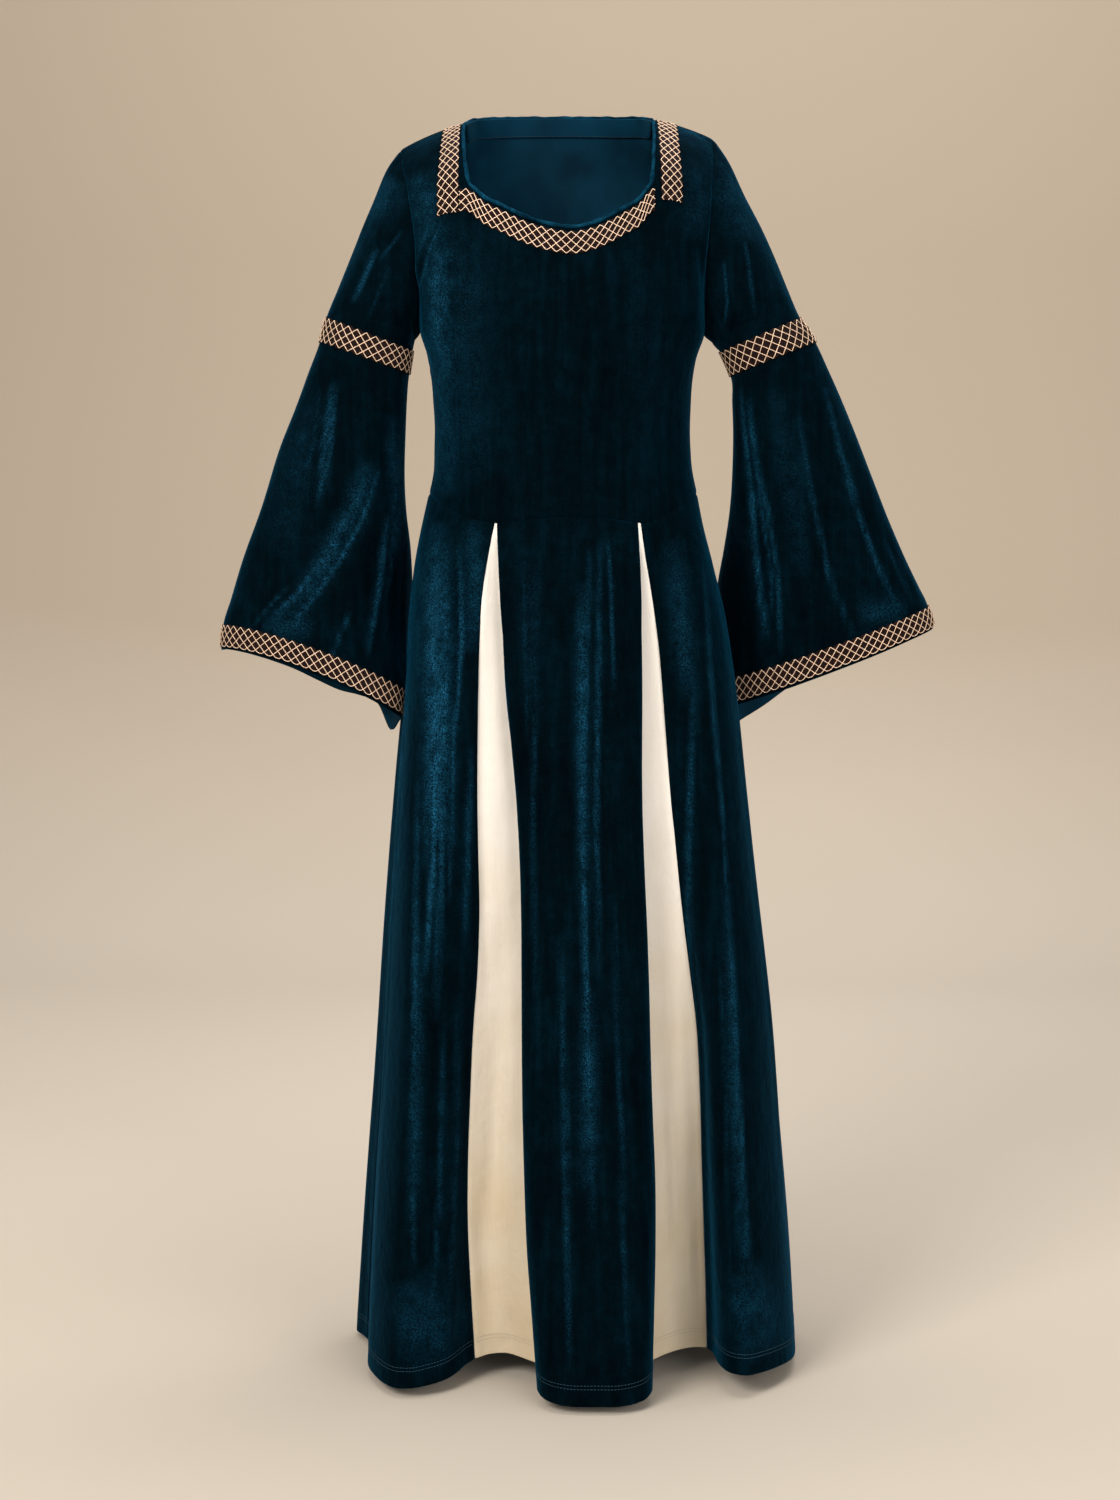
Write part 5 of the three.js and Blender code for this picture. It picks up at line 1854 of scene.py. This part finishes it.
# Brushed patches: highlights painted on the pile where it is brushed and lit.
SLEEVE_CREASES = brushed(Face.FRONT, [
    (20, 0.28, (-224, 110), (-206, 84), (-190, 62)),
    (3, 0.5, (-206, 146), (-220, 176), (-234, 206)),
    (3, 0.4, (-258, 296), (-268, 370), (-274, 440)),
    (3, 0.5, (-198, 440), (-208, 520), (-222, 600)),
    (3, 0.45, (214, 312), (226, 397), (238, 480)),
    (16, 0.24, (-340, 578), (-312, 570), (-280, 566)),
    (12, 0.36, (-214, 384), (-236, 448), (-266, 500), (-304, 560)),
    (8, 0.28, (-190, 330), (-187, 420), (-190, 510)),
    (24, 0.08, (-276, 300), (-300, 400), (-322, 500)),
    (20, 0.2, (186, 60), (204, 96), (214, 140)),
    (14, 0.1, (244, 300), (262, 400), (280, 520)),
    (14, 0.2, (340, 560), (370, 556), (404, 552)),
]) + brushed(Face.BACK, [
    (22, 0.28, (-230, 110), (-250, 190)),
    (24, 0.28, (-300, 320), (-290, 450), (-262, 580)),
    (22, 0.24, (230, 110), (250, 190)),
    (24, 0.28, (310, 320), (304, 450), (282, 580)),
])
SLEEVE_CREASES += creases(Face.FRONT, [
    (7, -4.0, (-205, 392), (-225, 451), (-250, 497), (-282, 542), (-313, 578)),
    (8, 3.2, (-216, 384), (-238, 440), (-266, 490), (-300, 536), (-338, 574)),
    (9, -2.6, (-254, 294), (-260, 361), (-266, 417)),
    (8, 2.2, (-272, 300), (-280, 372), (-296, 452)),
    (5, -2.4, (-305, 521), (-339, 556), (-353, 576)),
    (5, 2.2, (-296, 536), (-330, 567), (-346, 584)),
    (6, -2.6, (-239, 553), (-253, 588), (-262, 612)),
    (6, -2.8, (-186, 395), (-194, 497), (-204, 588)),
    (7, 2.4, (-196, 430), (-206, 520), (-222, 612)),
    (5, -2.0, (-180, 451), (-186, 542), (-188, 633)),
    (7, -2.6, (-211, 149), (-222, 178), (-234, 204)),
    (6, -2.2, (-176, 125), (-189, 142), (-204, 160)),
    (6, 2.0, (-190, 168), (-204, 196), (-214, 224)),
    (6, -2.4, (184, 158), (188, 206), (186, 232)),
    (7, 2.2, (204, 120), (212, 170), (220, 222)),
    (8, -1.8, (232, 150), (240, 190), (246, 220)),
    (9, -3.6, (206, 300), (214, 380), (222, 474), (240, 599)),
    (8, 3.0, (216, 310), (228, 397), (240, 446), (252, 520), (256, 610)),
    (7, -2.8, (214, 397), (230, 446), (242, 495), (244, 545), (240, 594)),
    (10, 2.6, (300, 300), (318, 372), (346, 448)),
    (9, -2.8, (322, 396), (344, 448), (364, 500), (392, 556)),
    (8, 2.4, (270, 330), (286, 420), (310, 520), (340, 590)),
    (6, -2.2, (372, 470), (394, 514), (412, 552)),
]) + creases(Face.BACK, [
    (11, -3.4, (-300, 400), (-262, 450), (-226, 520), (-204, 590)),
    (10, 3.0, (-316, 430), (-280, 486), (-244, 556), (-228, 620)),
    (10, -2.8, (-262, 280), (-246, 350), (-226, 430)),
    (9, -2.4, (-345, 520), (-318, 566), (-300, 600)),
    (9, -2.4, (-204, 130), (-228, 168), (-240, 214)),
    (11, -3.2, (320, 390), (288, 446), (252, 520), (232, 596)),
    (10, 3.0, (344, 420), (312, 484), (280, 560), (266, 626)),
    (10, -2.6, (282, 290), (262, 352), (238, 420)),
    (9, 2.4, (206, 120), (226, 166), (238, 216)),
    (9, -2.4, (400, 500), (372, 548), (352, 590)),
])
# Brushed patches: highlights painted on the pile where it is brushed and lit.
SKIRT_CREASES = brushed(Face.FRONT, [
    (15, 0.6, (-140, 452), (-140, 560), (-137, 680), (-140, 840)),
    (3, 0.5, (-111, 490), (-110, 580), (-118, 700)),
    (3, 0.4, (-160, 700), (-163, 900), (-166, 1180)),
    (3, 0.55, (190, 850), (200, 1080), (212, 1310)),
    (3, 0.35, (-100, 700), (-104, 820), (-108, 930)),
    (12, 0.24, (-96, 450), (-94, 520), (-100, 600)),
    (10, 0.24, (-158, 460), (-160, 560), (-164, 680)),
    (7, 0.2, (-158, 900), (-162, 1080), (-166, 1260)),
    (32, 0.18, (-176, 1300), (-150, 1350), (-116, 1390)),
    (24, 0.08, (-190, 760), (-198, 1000), (-206, 1240)),
    (6, 0.4, (24, 520), (24, 680), (27, 890)),
    (9, 0.26, (29, 960), (32, 1080), (31, 1190)),
    (12, 0.08, (-36, 470), (-34, 560), (-28, 680)),
    (12, 0.16, (126, 470), (136, 560), (146, 660)),
    (6, 0.24, (186, 838), (196, 1080), (206, 1320)),
    (28, 0.22, (200, 1290), (222, 1340), (240, 1392)),
    (14, 0.1, (160, 1180), (170, 1290), (176, 1390)),
]) + brushed(Face.BACK, [
    (22, 0.32, (-118, 450), (-122, 640), (-130, 900)),
    (18, 0.28, (-18, 450), (-16, 640), (-20, 900)),
    (20, 0.28, (104, 450), (112, 640), (124, 900)),
    (34, 0.2, (-140, 1180), (-120, 1300), (-90, 1390)),
    (34, 0.2, (80, 1150), (110, 1290), (150, 1390)),
]) + brushed(Face.RIGHT, [
    (18, 0.36, (-34, 470), (-40, 700), (-52, 1000)),
    (18, 0.28, (36, 470), (46, 720), (60, 1040)),
]) + brushed(Face.LEFT, [
    (16, 0.28, (-30, 470), (-38, 700), (-50, 1000)),
    (18, 0.24, (38, 470), (50, 720), (66, 1040)),
])
SKIRT_CREASES += creases(Face.FRONT, [
    (9, -4.2, (-142, 472), (-145, 584), (-139, 718), (-142, 832), (-150, 960)),
    (8, 3.4, (-128, 470), (-127, 584), (-130, 718), (-134, 860), (-140, 1010)),
    (8, -3.2, (-114, 475), (-109, 584), (-121, 718), (-124, 877)),
    (7, -2.6, (-158, 651), (-162, 991), (-167, 1339)),
    (6, 1.8, (-104, 640), (-108, 800), (-112, 980)),
    (9, 2.2, (-116, 980), (-119, 1167), (-128, 1390)),
    (8, -2.4, (-132, 1010), (-136, 1210), (-146, 1400)),
    (9, -3.0, (33, 480), (30, 600), (26, 740), (26, 867), (33, 1100), (36, 1240)),
    (8, 2.6, (44, 470), (43, 600), (40, 760), (44, 960)),
    (6, -2.6, (51, 464), (57, 523), (60, 640)),
    (8, 2.0, (-22, 470), (-26, 600), (-30, 800), (-24, 1060)),
    (8, -2.0, (-44, 470), (-40, 560), (-36, 700)),
    (10, 2.4, (0, 900), (6, 1100), (10, 1390)),
    (8, -2.2, (60, 860), (66, 1080), (76, 1390)),
    (7, 1.6, (-20, 1180), (-12, 1400), (-10, 1422)),
    (6, -2.6, (162, 480), (172, 640), (182, 764), (205, 1164), (223, 1374)),
    (7, 2.8, (160, 492), (166, 624), (177, 745), (190, 867)),
    (6, 2.4, (186, 980), (202, 1169), (211, 1275), (234, 1357)),
    (6, -1.8, (140, 470), (146, 560), (150, 700)),
    (7, -2.0, (178, 900), (186, 1100), (190, 1380)),
    (5, 2.0, (-177, 1381), (-168, 1393), (-160, 1405)),
    (5, -1.8, (-110, 1322), (-116, 1369), (-120, 1400)),
    (12, -2.6, (150, 620), (144, 820), (146, 1060)),
]) + creases(Face.BACK, [
    (12, -4.0, (-120, 450), (-124, 620), (-132, 860), (-146, 1200)),
    (11, 3.4, (-84, 450), (-88, 600), (-96, 800), (-104, 1020)),
    (10, -3.0, (-52, 470), (-54, 640), (-60, 900)),
    (12, 3.6, (-18, 450), (-16, 640), (-22, 960), (-30, 1320)),
    (10, -3.2, (22, 460), (26, 660), (30, 900), (28, 1180)),
    (11, 3.0, (62, 450), (68, 640), (80, 980), (92, 1300)),
    (12, -3.4, (98, 460), (106, 640), (118, 860), (136, 1240)),
    (9, 2.6, (126, 470), (134, 600), (142, 760)),
    (8, -2.2, (-156, 900), (-166, 1140), (-180, 1390)),
    (8, 2.4, (160, 980), (176, 1200), (190, 1400)),
]) + creases(Face.RIGHT, [
    (10, 3.2, (-30, 480), (-36, 640), (-48, 900), (-56, 1200)),
    (9, -3.0, (-6, 500), (-10, 700), (-14, 1000)),
    (9, 2.8, (34, 470), (44, 700), (56, 1000), (70, 1340)),
    (9, -2.8, (62, 520), (76, 760), (98, 1100)),
]) + creases(Face.LEFT, [
    (10, 3.0, (-26, 490), (-34, 680), (-46, 920), (-58, 1240)),
    (9, -3.2, (4, 500), (2, 720), (-4, 1080)),
    (9, 2.6, (38, 480), (48, 720), (64, 1060), (80, 1360)),
    (9, -2.6, (66, 540), (82, 780), (106, 1160)),
])
GODET_CREASES = creases(Face.FRONT, [
    (10, -14.0, *((-72, 470), (-65, 560), (-59, 640), (-49, 760)),
     *((-43, 900), (-42, 1050), (-38, 1220), (-25, 1415))),
    (7, -2.8, (-88, 560), (-86, 760), (-82, 1000)),
    (8, 2.4, (-78, 620), (-72, 860), (-74, 1180)),
    (9, -3.2, (-60, 880), (-70, 1080), (-88, 1300)),
    (8, 2.6, (-52, 1040), (-58, 1220), (-68, 1392)),
    (7, -2.2, (-92, 1240), (-84, 1320), (-70, 1380)),
    (7, -2.6, (104, 560), (110, 760), (116, 980)),
    (9, 2.8, (122, 740), (134, 960), (142, 1180)),
    (9, -3.4, (112, 900), (126, 1100), (140, 1320)),
    (8, 2.4, (116, 1060), (120, 1220), (126, 1392)),
    (7, -2.2, (152, 1080), (158, 1240), (160, 1390)),
    (6, 1.8, (134, 1180), (148, 1290), (158, 1388)),
])


class Gown:
    """The whole gown."""

    def __init__(self, finishes: Finishes) -> None:
        self.finishes = finishes
        self.bodice = BodiceForm()
        self.made: dict[str, bpy.types.Object] = {}
        self.extras: dict[str, list[bpy.types.Object]] = {}
        self.surfaces: dict[str, Surface] = {}
        self.sleeves: dict[str, Surface] = {}

    def velvet(self, name: str, surface: Surface) -> None:
        """Builds a velvet piece."""
        f = self.finishes
        self.made[name] = Piece(name, surface, VELVET_WALL, f.velvet, f.knit, "velvet").build()

    def build_bodice(self) -> None:
        """Builds the front and the back and keeps their surfaces for the braid."""
        drape = Drape(BODICE_CREASES, Ripple(seed=4, high=0.5))
        self.front = self.front_surface()
        drape.shape(self.front, "flaz")
        self.velvet("bodice_front", self.front)
        grid, rows, columns = finer(self.bodice.grid(self.bodice.back), CELL)
        self.back = Surface(grid, rows, columns, flip=True)
        drape.shape(self.back, "faz")
        self.velvet("bodice_back", self.back)

    def front_surface(self) -> Surface:
        """Makes the fine front, with its straps beside the open neck."""
        coarse = self.bodice.grid(self.bodice.front)
        low = coarse[:NECK_ROW + 1].transpose(1, 0, 2)
        stations = stations_of(low)
        columns = fine_places(stations, CELL)
        wanted = np.interp(columns, np.arange(len(stations)), stations)
        body = spline(low, stations, wanted).transpose(1, 0, 2)
        whole = np.full((SHOULDER_ROW + 1, len(columns), 3), np.nan)
        whole[:NECK_ROW + 1] = body
        for first, last in ((0, RIGHT_NECK), (LEFT_NECK, BODICE_CELLS)):
            strap = coarse[NECK_ROW + 1:, first:last + 1].transpose(1, 0, 2)
            inside = (columns >= first) & (columns <= last)
            found = spline(strap, stations[first:last + 1], wanted[inside])
            whole[NECK_ROW + 1:, inside] = found.transpose(1, 0, 2)
        strap_columns = (columns <= RIGHT_NECK) | (columns >= LEFT_NECK)
        row_stations = stations_of(whole[:, strap_columns])
        rows = fine_places(row_stations, CELL)
        row_wanted = np.interp(rows, np.arange(len(row_stations)), row_stations)
        fine = np.full((len(rows), len(columns), 3), np.nan)
        fine[:, strap_columns] = spline(whole[:, strap_columns], row_stations, row_wanted)
        low_rows = rows <= NECK_ROW
        fine[np.ix_(low_rows, ~strap_columns)] = spline(
            whole[:NECK_ROW + 1, ~strap_columns], row_stations[:NECK_ROW + 1], row_wanted[low_rows])
        hole = (rows[:, None] >= NECK_ROW) & (columns[None] >= RIGHT_NECK) & (columns[None] < LEFT_NECK)
        edge = fine[np.flatnonzero(rows == NECK_ROW)[0]]
        above = (rows[:, None] > NECK_ROW) & (columns[None] > RIGHT_NECK) & (columns[None] < LEFT_NECK)
        lift = (rows - NECK_ROW)[:, None, None] * np.array([0, 0, 5.0])
        fine = np.where(above[..., None], edge[None] + lift, fine)
        return Surface(fine, rows, columns, missing=hole)

    def build_sleeves(self) -> None:
        """Builds the upper and lower part of each sleeve."""
        drape = Drape(SLEEVE_CREASES, Ripple(seed=11, high=0.8))
        for side, left in (("right", False), ("left", True)):
            grid, rows, columns = finer(SleeveForm(self.bodice, left).grid(), CELL, tube=True)
            whole = Surface(grid, rows, columns, tube=True, flip=left)
            drape.shape(whole, "f")
            self.sleeves[side] = whole
            for part, keep in (("upper", rows <= SLEEVE_SEAM), ("lower", rows >= SLEEVE_SEAM)):
                cut = Surface(whole.points[keep], rows[keep], columns, tube=True, flip=left)
                cut.pile = whole.pile[keep]
                self.velvet(f"{part}_sleeve_{side}", cut)

    def build_skirt(self) -> None:
        """Builds the six panels of the skirt."""
        velvet = Drape(SKIRT_CREASES, Ripple(seed=23, high=0.9, shortest=60, longest=240))
        ivory = Drape(GODET_CREASES, Ripple(seed=37, high=0.7, shortest=40, longest=160))
        f = self.finishes
        for name, coarse in SkirtForm(self.bodice).grids().items():
            grid, rows, columns = finer(coarse, CELL)
            surface = Surface(grid, rows, columns, flip=True)
            drape = ivory if name.startswith("godet") else velvet
            drape.shape(surface, "faz")
            self.surfaces[name] = surface
            if name.startswith("godet"):
                piece = Piece(name, surface, CREAM_WALL, f.ivory, f.ivory, "cream_cloth")
                self.made[name] = piece.build()
            else:
                self.velvet(name, surface)

    def build_facing(self) -> None:
        """Builds the facing inside the back neck."""
        cut = self.back.where((SHOULDER_ROW - 1, SHOULDER_ROW), (RIGHT_NECK, LEFT_NECK))
        reach = VELVET_WALL / 2 + LAY_GAP + FACING_WALL / 2
        cut.points = cut.points - cut.normals * reach
        f = self.finishes
        piece = Piece("back_neck_facing", cut, FACING_WALL, f.knit, f.knit, "velvet_facing")
        self.made["back_neck_facing"] = piece.build()

    def neck_line(self) -> Mesh:
        """Finds the edge of the neck opening and its normals, round from the right shoulder."""
        front, back = self.front, self.back
        edge = np.flatnonzero(np.isclose(front.rows, NECK_ROW))[0]
        right = np.flatnonzero(np.isclose(front.columns, RIGHT_NECK))[0]
        left = np.flatnonzero(np.isclose(front.columns, LEFT_NECK))[0]
        behind = (back.columns >= RIGHT_NECK) & (back.columns <= LEFT_NECK)
        runs = [
            (front.points[edge:, right][::-1], front.normals[edge:, right][::-1]),
            (front.points[edge, right + 1:left], front.normals[edge, right + 1:left]),
            (front.points[edge:, left], front.normals[edge:, left]),
            (back.points[-1, behind][::-1][1:-1], back.normals[-1, behind][::-1][1:-1]),
        ]
        return np.vstack([run[0] for run in runs]), np.vstack([run[1] for run in runs])

    def build_neck_roll(self) -> None:
        """Builds the soft roll of pile along the neck edge, gathered a little by its stitches."""
        line, ups = self.neck_line()
        steps = np.linalg.norm(np.diff(line, axis=0, append=line[:1]), axis=1)
        length = np.r_[0, steps.cumsum()]
        count = round(length[-1] / ROLL_STEP)
        wanted = np.arange(count) * length[-1] / count
        path, up = (interpolate(wanted, length, np.vstack([run, run[:1]])) for run in (line, ups))
        for _ in range(ROLL_SMOOTH):
            path, up = (
                (np.roll(run, 1, axis=0) + 2 * run + np.roll(run, -1, axis=0)) / 4 for run in (path, up)
            )
        gather = sum(np.sin(wanted * 2 * math.pi / wave + wave) for wave in ROLL_WAVES) / len(ROLL_WAVES)
        path = path + up * (ROLL_RISE + ROLL_GATHER * gather)[:, None]
        wide, high = ROLL_WIDE * (1 + ROLL_SWELL * gather), ROLL_HIGH * (1 - ROLL_SINK * gather)
        points, faces = ring_tube(path, up, wide, high)
        made = make_object("bodice_neck_roll", points, faces, (self.finishes.rolled,))
        hand_over(made, "velvet")
        self.extras.setdefault("bodice_front", []).append(made)

    def declare(self) -> None:
        """Goes through every piece of cloth's cut and reads the pieces it rests on and what is sewn to it.
        """
        for name, cut in CUTS.items():
            [self.made[other].name for other in cut.rests_on]
            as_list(self.extras.get(name, []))

    def build_stitches(self) -> None:
        """Builds the rows of stitches above the hems and along the facing's seam."""
        for name, surface in self.surfaces.items():
            lines = [surface_line(surface, -1, away) for away in (HEM_STITCH, HEM_STITCH + TWIN_GAP)]
            thread = self.finishes.pale_thread if name.startswith("godet") else self.finishes.teal_thread
            self.stitch(name, lines, thread)
        facing = self.back.where((SHOULDER_ROW - 1, SHOULDER_ROW), (RIGHT_NECK, LEFT_NECK))
        points = facing.points - facing.normals * FACING_REACH
        inward = Surface(points, facing.rows, facing.columns, flip=True)
        inward.normals = -facing.normals
        line = surface_line(inward, 0, FACING_STITCH)
        self.stitch("back_neck_facing", [line], self.finishes.teal_thread)

    def stitch(self, name: str, lines: Sequence[Mesh], thread: Material) -> None:
        """Sews rows of stitches on a piece.

        Args:
            name: The piece.
            lines: The points of each row and the directions away from the cloth.
            thread: The material of the thread.
        """
        paths, ups = [], []
        for path, up in lines:
            steps = np.r_[0, np.linalg.norm(np.diff(path, axis=0), axis=1).cumsum()]
            for start in np.arange(STITCH, steps[-1] - 2 * STITCH, STITCH_PITCH):
                at = start + STITCH_SHARES * STITCH
                out = interpolate(at, steps, up)
                paths.append(interpolate(at, steps, path) + out * STITCH_RISES[:, None])
                ups.append(out)
        points, faces = tubes(paths, ups, STITCH_WIDE, STITCH_HIGH)
        made = make_object(name + "_stitches", points, faces, (thread,))
        hand_over(made, "cream_cloth" if name.startswith("godet") else "velvet")
        self.extras.setdefault(name, []).append(made)

    def build_trims(self) -> None:
        """Builds the braid round the neck, down the straps and round the sleeves."""
        neck = self.front.where((BAND_ROW, MARGIN_ROW), (RIGHT_NECK - 1, LEFT_NECK + NECK_TRIM_PAST))
        mitre = float(np.interp(NECK_MITRE, neck.points[0, :, 0], Ribbon(neck.points, neck.normals).length))
        self.trim("neck_trim", neck.points, neck.normals, mitre)
        right = (RIGHT_NECK - 1 - STRAP_TRIM_COLUMNS, RIGHT_NECK - 1)
        left = (LEFT_NECK + 1, LEFT_NECK + 1 + STRAP_TRIM_COLUMNS)
        for side, foot, columns in (("right", BAND_ROW, right), ("left", LEFT_STRAP_FOOT, left)):
            cut = self.front.where((foot, SHOULDER_ROW), columns)
            self.trim("strap_trim_" + side, cut.points.transpose(1, 0, 2), cut.normals.transpose(1, 0, 2))
        bands = (("arm_band_", (BAND_TOP, BAND_FOOT)), ("hem_trim_", (HEM_TRIM_TOP, HEM_TRIM_FOOT)))
        for side, whole in self.sleeves.items():
            for name, rows in bands:
                keep = (whole.rows >= rows[0]) & (whole.rows <= rows[1])
                points, normals = whole.points[keep], whole.normals[keep]
                points = np.concatenate([points, points[:, :1]], axis=1)
                normals = np.concatenate([normals, normals[:, :1]], axis=1)
                self.trim(name + side, points, normals)

    def trim(self, name: str, points: Grid, normals: Grid, mitre: float = 0.0) -> None:
        """Builds one length of braid.

        Args:
            name: The name of the solid that it stands for.
            points: The strip of the cloth that it lies on.
            normals: Its normals.
            mitre: The length at which it is mitred, or 0.
        """
        ground, lattice = Braid().build(name, Ribbon(points, normals), self.finishes, mitre)
        self.made[name] = ground
        self.extras[name] = [lattice]


@dataclass(frozen=True)
class Braid:
    """A braid with a raised lattice of copper thread that turns back in points at both edges."""

    # The length of a diamond, their number across, and the share of the width for the points.
    pitch: float = 11.0
    rows: int = 5
    edge: float = 0.07
    # Half the width and height of a thread, how far ground and threads stand off, how far threads
    # rise where they cross, and the cells of the ground along a pitch and across.
    thread_wide: float = 0.46
    thread_high: float = 0.36
    off: float = VELVET_WALL / 2 + LAY_GAP + TRIM_WALL / 2
    over: float = 0.8
    weave: float = 0.2
    cells: int = 8

    def build(self, name: str, ribbon: Ribbon, finishes: Finishes, mitre: float) -> tuple[Made, Made]:
        """Makes a length of braid, whose lattice starts anew at a mitre.

        Args:
            name: The name of the solid that it stands for.
            ribbon: The strip that it lies on.
            finishes: The materials.
            mitre: The length at which it is mitred, or 0.

        Returns:
            The ground and the lattice.
        """
        total = ribbon.length[-1]
        ground = self.ground(name, ribbon, max(4, round(total / self.pitch)), finishes)
        paths, ups = [], []
        stops = [0.0, mitre, total] if mitre else [0.0, total]
        for start, end in zip(stops, stops[1:]):
            self.lattice(ribbon, start, end, paths, ups)
        points, faces = tubes(paths, ups, self.thread_wide, self.thread_high)
        lattice = make_object(name + "_lattice", points, faces, (finishes.copper,))
        hand_over(lattice, "lattice_trim")
        return ground, lattice

    def lattice(self, ribbon: Ribbon, start: float, end: float, paths: list, ups: list) -> None:
        """Lays the crossing threads between two lengths of a ribbon.

        Args:
            ribbon: The strip that they lie on.
            start: The length at which they start.
            end: The length at which they end.
            paths: Takes the middle line of each thread.
            ups: Takes the directions away from the cloth.
        """
        count = max(2, round((end - start) / self.pitch))
        pitch = (end - start) / count
        run = self.rows / 2 * pitch
        t = np.linspace(0, 1, 4 * self.rows + 1)
        for k in range(-self.rows // 2 - 1, count + 1):
            for way in (1, -1):
                phase = 0.25 if way > 0 else 0.25 - (self.rows % 2) / 2
                along = start + (k + phase) * pitch + run * t
                share = self.edge / 2 + (1 - self.edge) * (t if way > 0 else 1 - t)
                inside = (along >= start) & (along <= end)
                if inside.sum() < 3:
                    continue
                weave = np.cos(t * math.pi * self.rows) * way
                lift = self.off + self.over + self.weave * weave
                path = ribbon.at(along[inside], share[inside], lift[inside])
                paths.append(path)
                ups.append(path - ribbon.at(along[inside], share[inside], 0.0))

    def ground(self, name: str, ribbon: Ribbon, count: int, finishes: Finishes) -> Made:
        """Makes the ground, whose edges run in points.

        Args:
            name: The name of the solid that it stands for.
            ribbon: The strip that it lies on.
            count: The number of its points along an edge.
            finishes: The materials.

        Returns:
            The ground.
        """
        along = np.linspace(0, ribbon.length[-1], count * self.cells + 1)
        saw = np.abs((np.arange(len(along)) / self.cells) % 1 - 0.5) * 2
        inset = self.edge * (1 - saw)
        shares = np.linspace(0, 1, self.cells + 1)[:, None] * (1 - 2 * inset) + inset
        grid = ribbon.at(np.broadcast_to(along, shares.shape), shares, self.off)
        surface = Surface(grid, np.arange(self.cells + 1), np.arange(len(along)))
        outside = ribbon.at(along[None, :1], shares[:1, :1], self.off + 1)[0, 0]
        if float((outside - grid[0, 0]) @ surface.normals[0, 0]) < 0:
            surface.flip = True
            surface.measure()
        made = shell(name + "_ground", surface, TRIM_WALL, finishes.ground, finishes.ground)
        hand_over(made, "lattice_trim", name)
        return made


@dataclass(frozen=True)
class Lamp:
    """A square soft light: its place and aim, its power in watts, its side and its colour."""

    name: str
    place: Key
    aim: Key
    power: float
    side: float
    colour: str

    def build(self) -> None:
        """Makes the light."""
        data = bpy.data.lights.new(self.name, "AREA")
        data.energy = self.power
        data.size = self.side
        data.color = linear(self.colour)[:3]
        made = bpy.data.objects.new(self.name, data)
        made.location = self.place
        way = np.array(self.aim, dtype=float) - np.array(self.place)
        yaw = math.atan2(way[0], -way[1])
        tilt = math.atan2(math.hypot(way[0], way[1]), -way[2])
        made.rotation_euler = (tilt, 0, yaw + math.pi)
        bpy.context.scene.collection.objects.link(made)


@dataclass(frozen=True)
class Studio:
    """The camera, the lights and the sweep, in metres."""

    # The camera, its tilt in degrees, and its focal length and picture in pixels.
    eye: Key = (0.0, -3.2, -0.406)
    down: float = 5.57
    focal: float = 2770.0
    picture: tuple[int, int] = (1120, 1500)
    # The floor, from its front edge to where it bends up, and the backdrop.
    floor: float = -1.4335
    front: float = -8.0
    bend: float = 2.4
    radius: float = 1.6
    bend_cells: int = 12
    top: float = 7.0
    half: float = 9.0
    # The light from all round.
    air: str = "#f3efe9"
    air_strength: float = 0.5

    def build(self) -> None:
        """Makes the camera, the lights and the sweep."""
        scene = bpy.context.scene
        data = bpy.data.cameras.new("camera")
        data.sensor_fit = "VERTICAL"
        data.angle = 2 * math.atan(self.picture[1] / 2 / self.focal)
        data.clip_end = 50
        camera = bpy.data.objects.new("camera", data)
        camera.location = self.eye
        camera.rotation_euler = (math.radians(90 - self.down), 0, 0)
        scene.collection.objects.link(camera)
        scene.camera = camera
        scene.view_settings.view_transform = "Standard"
        self.sweep()
        Lamp("key", (-1.85, -3.0, 1.25), (0, 0, -0.55), 148, 1.6, "#fffaf3").build()
        Lamp("fill", (1.7, -3.0, -0.35), (0, 0, -0.9), 62, 1.8, "#fffdfa").build()
        Lamp("top", (0.2, 0.1, 2.2), (0, 0.3, -1.2), 62, 2.4, "#fffdfa").build()
        Lamp("wall", (0.6, 1.2, 2.2), (0.2, 4.0, 0.0), 90, 2.4, "#fffdfa").build()
        world = bpy.data.worlds.new("studio")
        world.use_nodes = True
        background = world.node_tree.nodes["Background"]
        background.inputs["Color"].default_value = linear(self.air)
        background.inputs["Strength"].default_value = self.air_strength
        scene.world = world

    def sweep(self) -> None:
        """Makes the floor, which bends up into the backdrop."""
        turns = np.radians(np.linspace(0, 90, self.bend_cells + 1))
        curve = [(self.front, 0.0)]
        curve += [(self.bend + math.sin(t) * self.radius, (1 - math.cos(t)) * self.radius) for t in turns]
        curve.append((self.bend + self.radius, self.top))
        across = np.linspace(-self.half, self.half, 9)
        points = np.array([[(x, y, self.floor + z) for x in across] for y, z in curve]) / MM
        quads = grid_quads(*points.shape[:2]).reshape(-1, 4)
        made = make_object("sweep", points.reshape(-1, 3), quads, (Sweep().make("beige_paper"),))
        made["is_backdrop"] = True


def write_sizes() -> None:
    """Works out the size of the solids and of the looks as plain lists."""
    boxes = {"cad": CAD_BOUNDS, "visual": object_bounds()}
    sizes = {name: [list(map(float, corner)) for corner in box] for name, box in boxes.items()}


def main() -> None:
    """Builds everything in order."""
    logging.basicConfig(level=logging.INFO, format="%(name)s %(message)s")
    Studio().build()
    gown = Gown(Finishes.make())
    gown.build_bodice()
    gown.build_sleeves()
    gown.build_skirt()
    gown.build_facing()
    gown.build_trims()
    gown.build_neck_roll()
    gown.build_stitches()
    gown.declare()
    write_sizes()


if __name__ == "__main__":
    main()
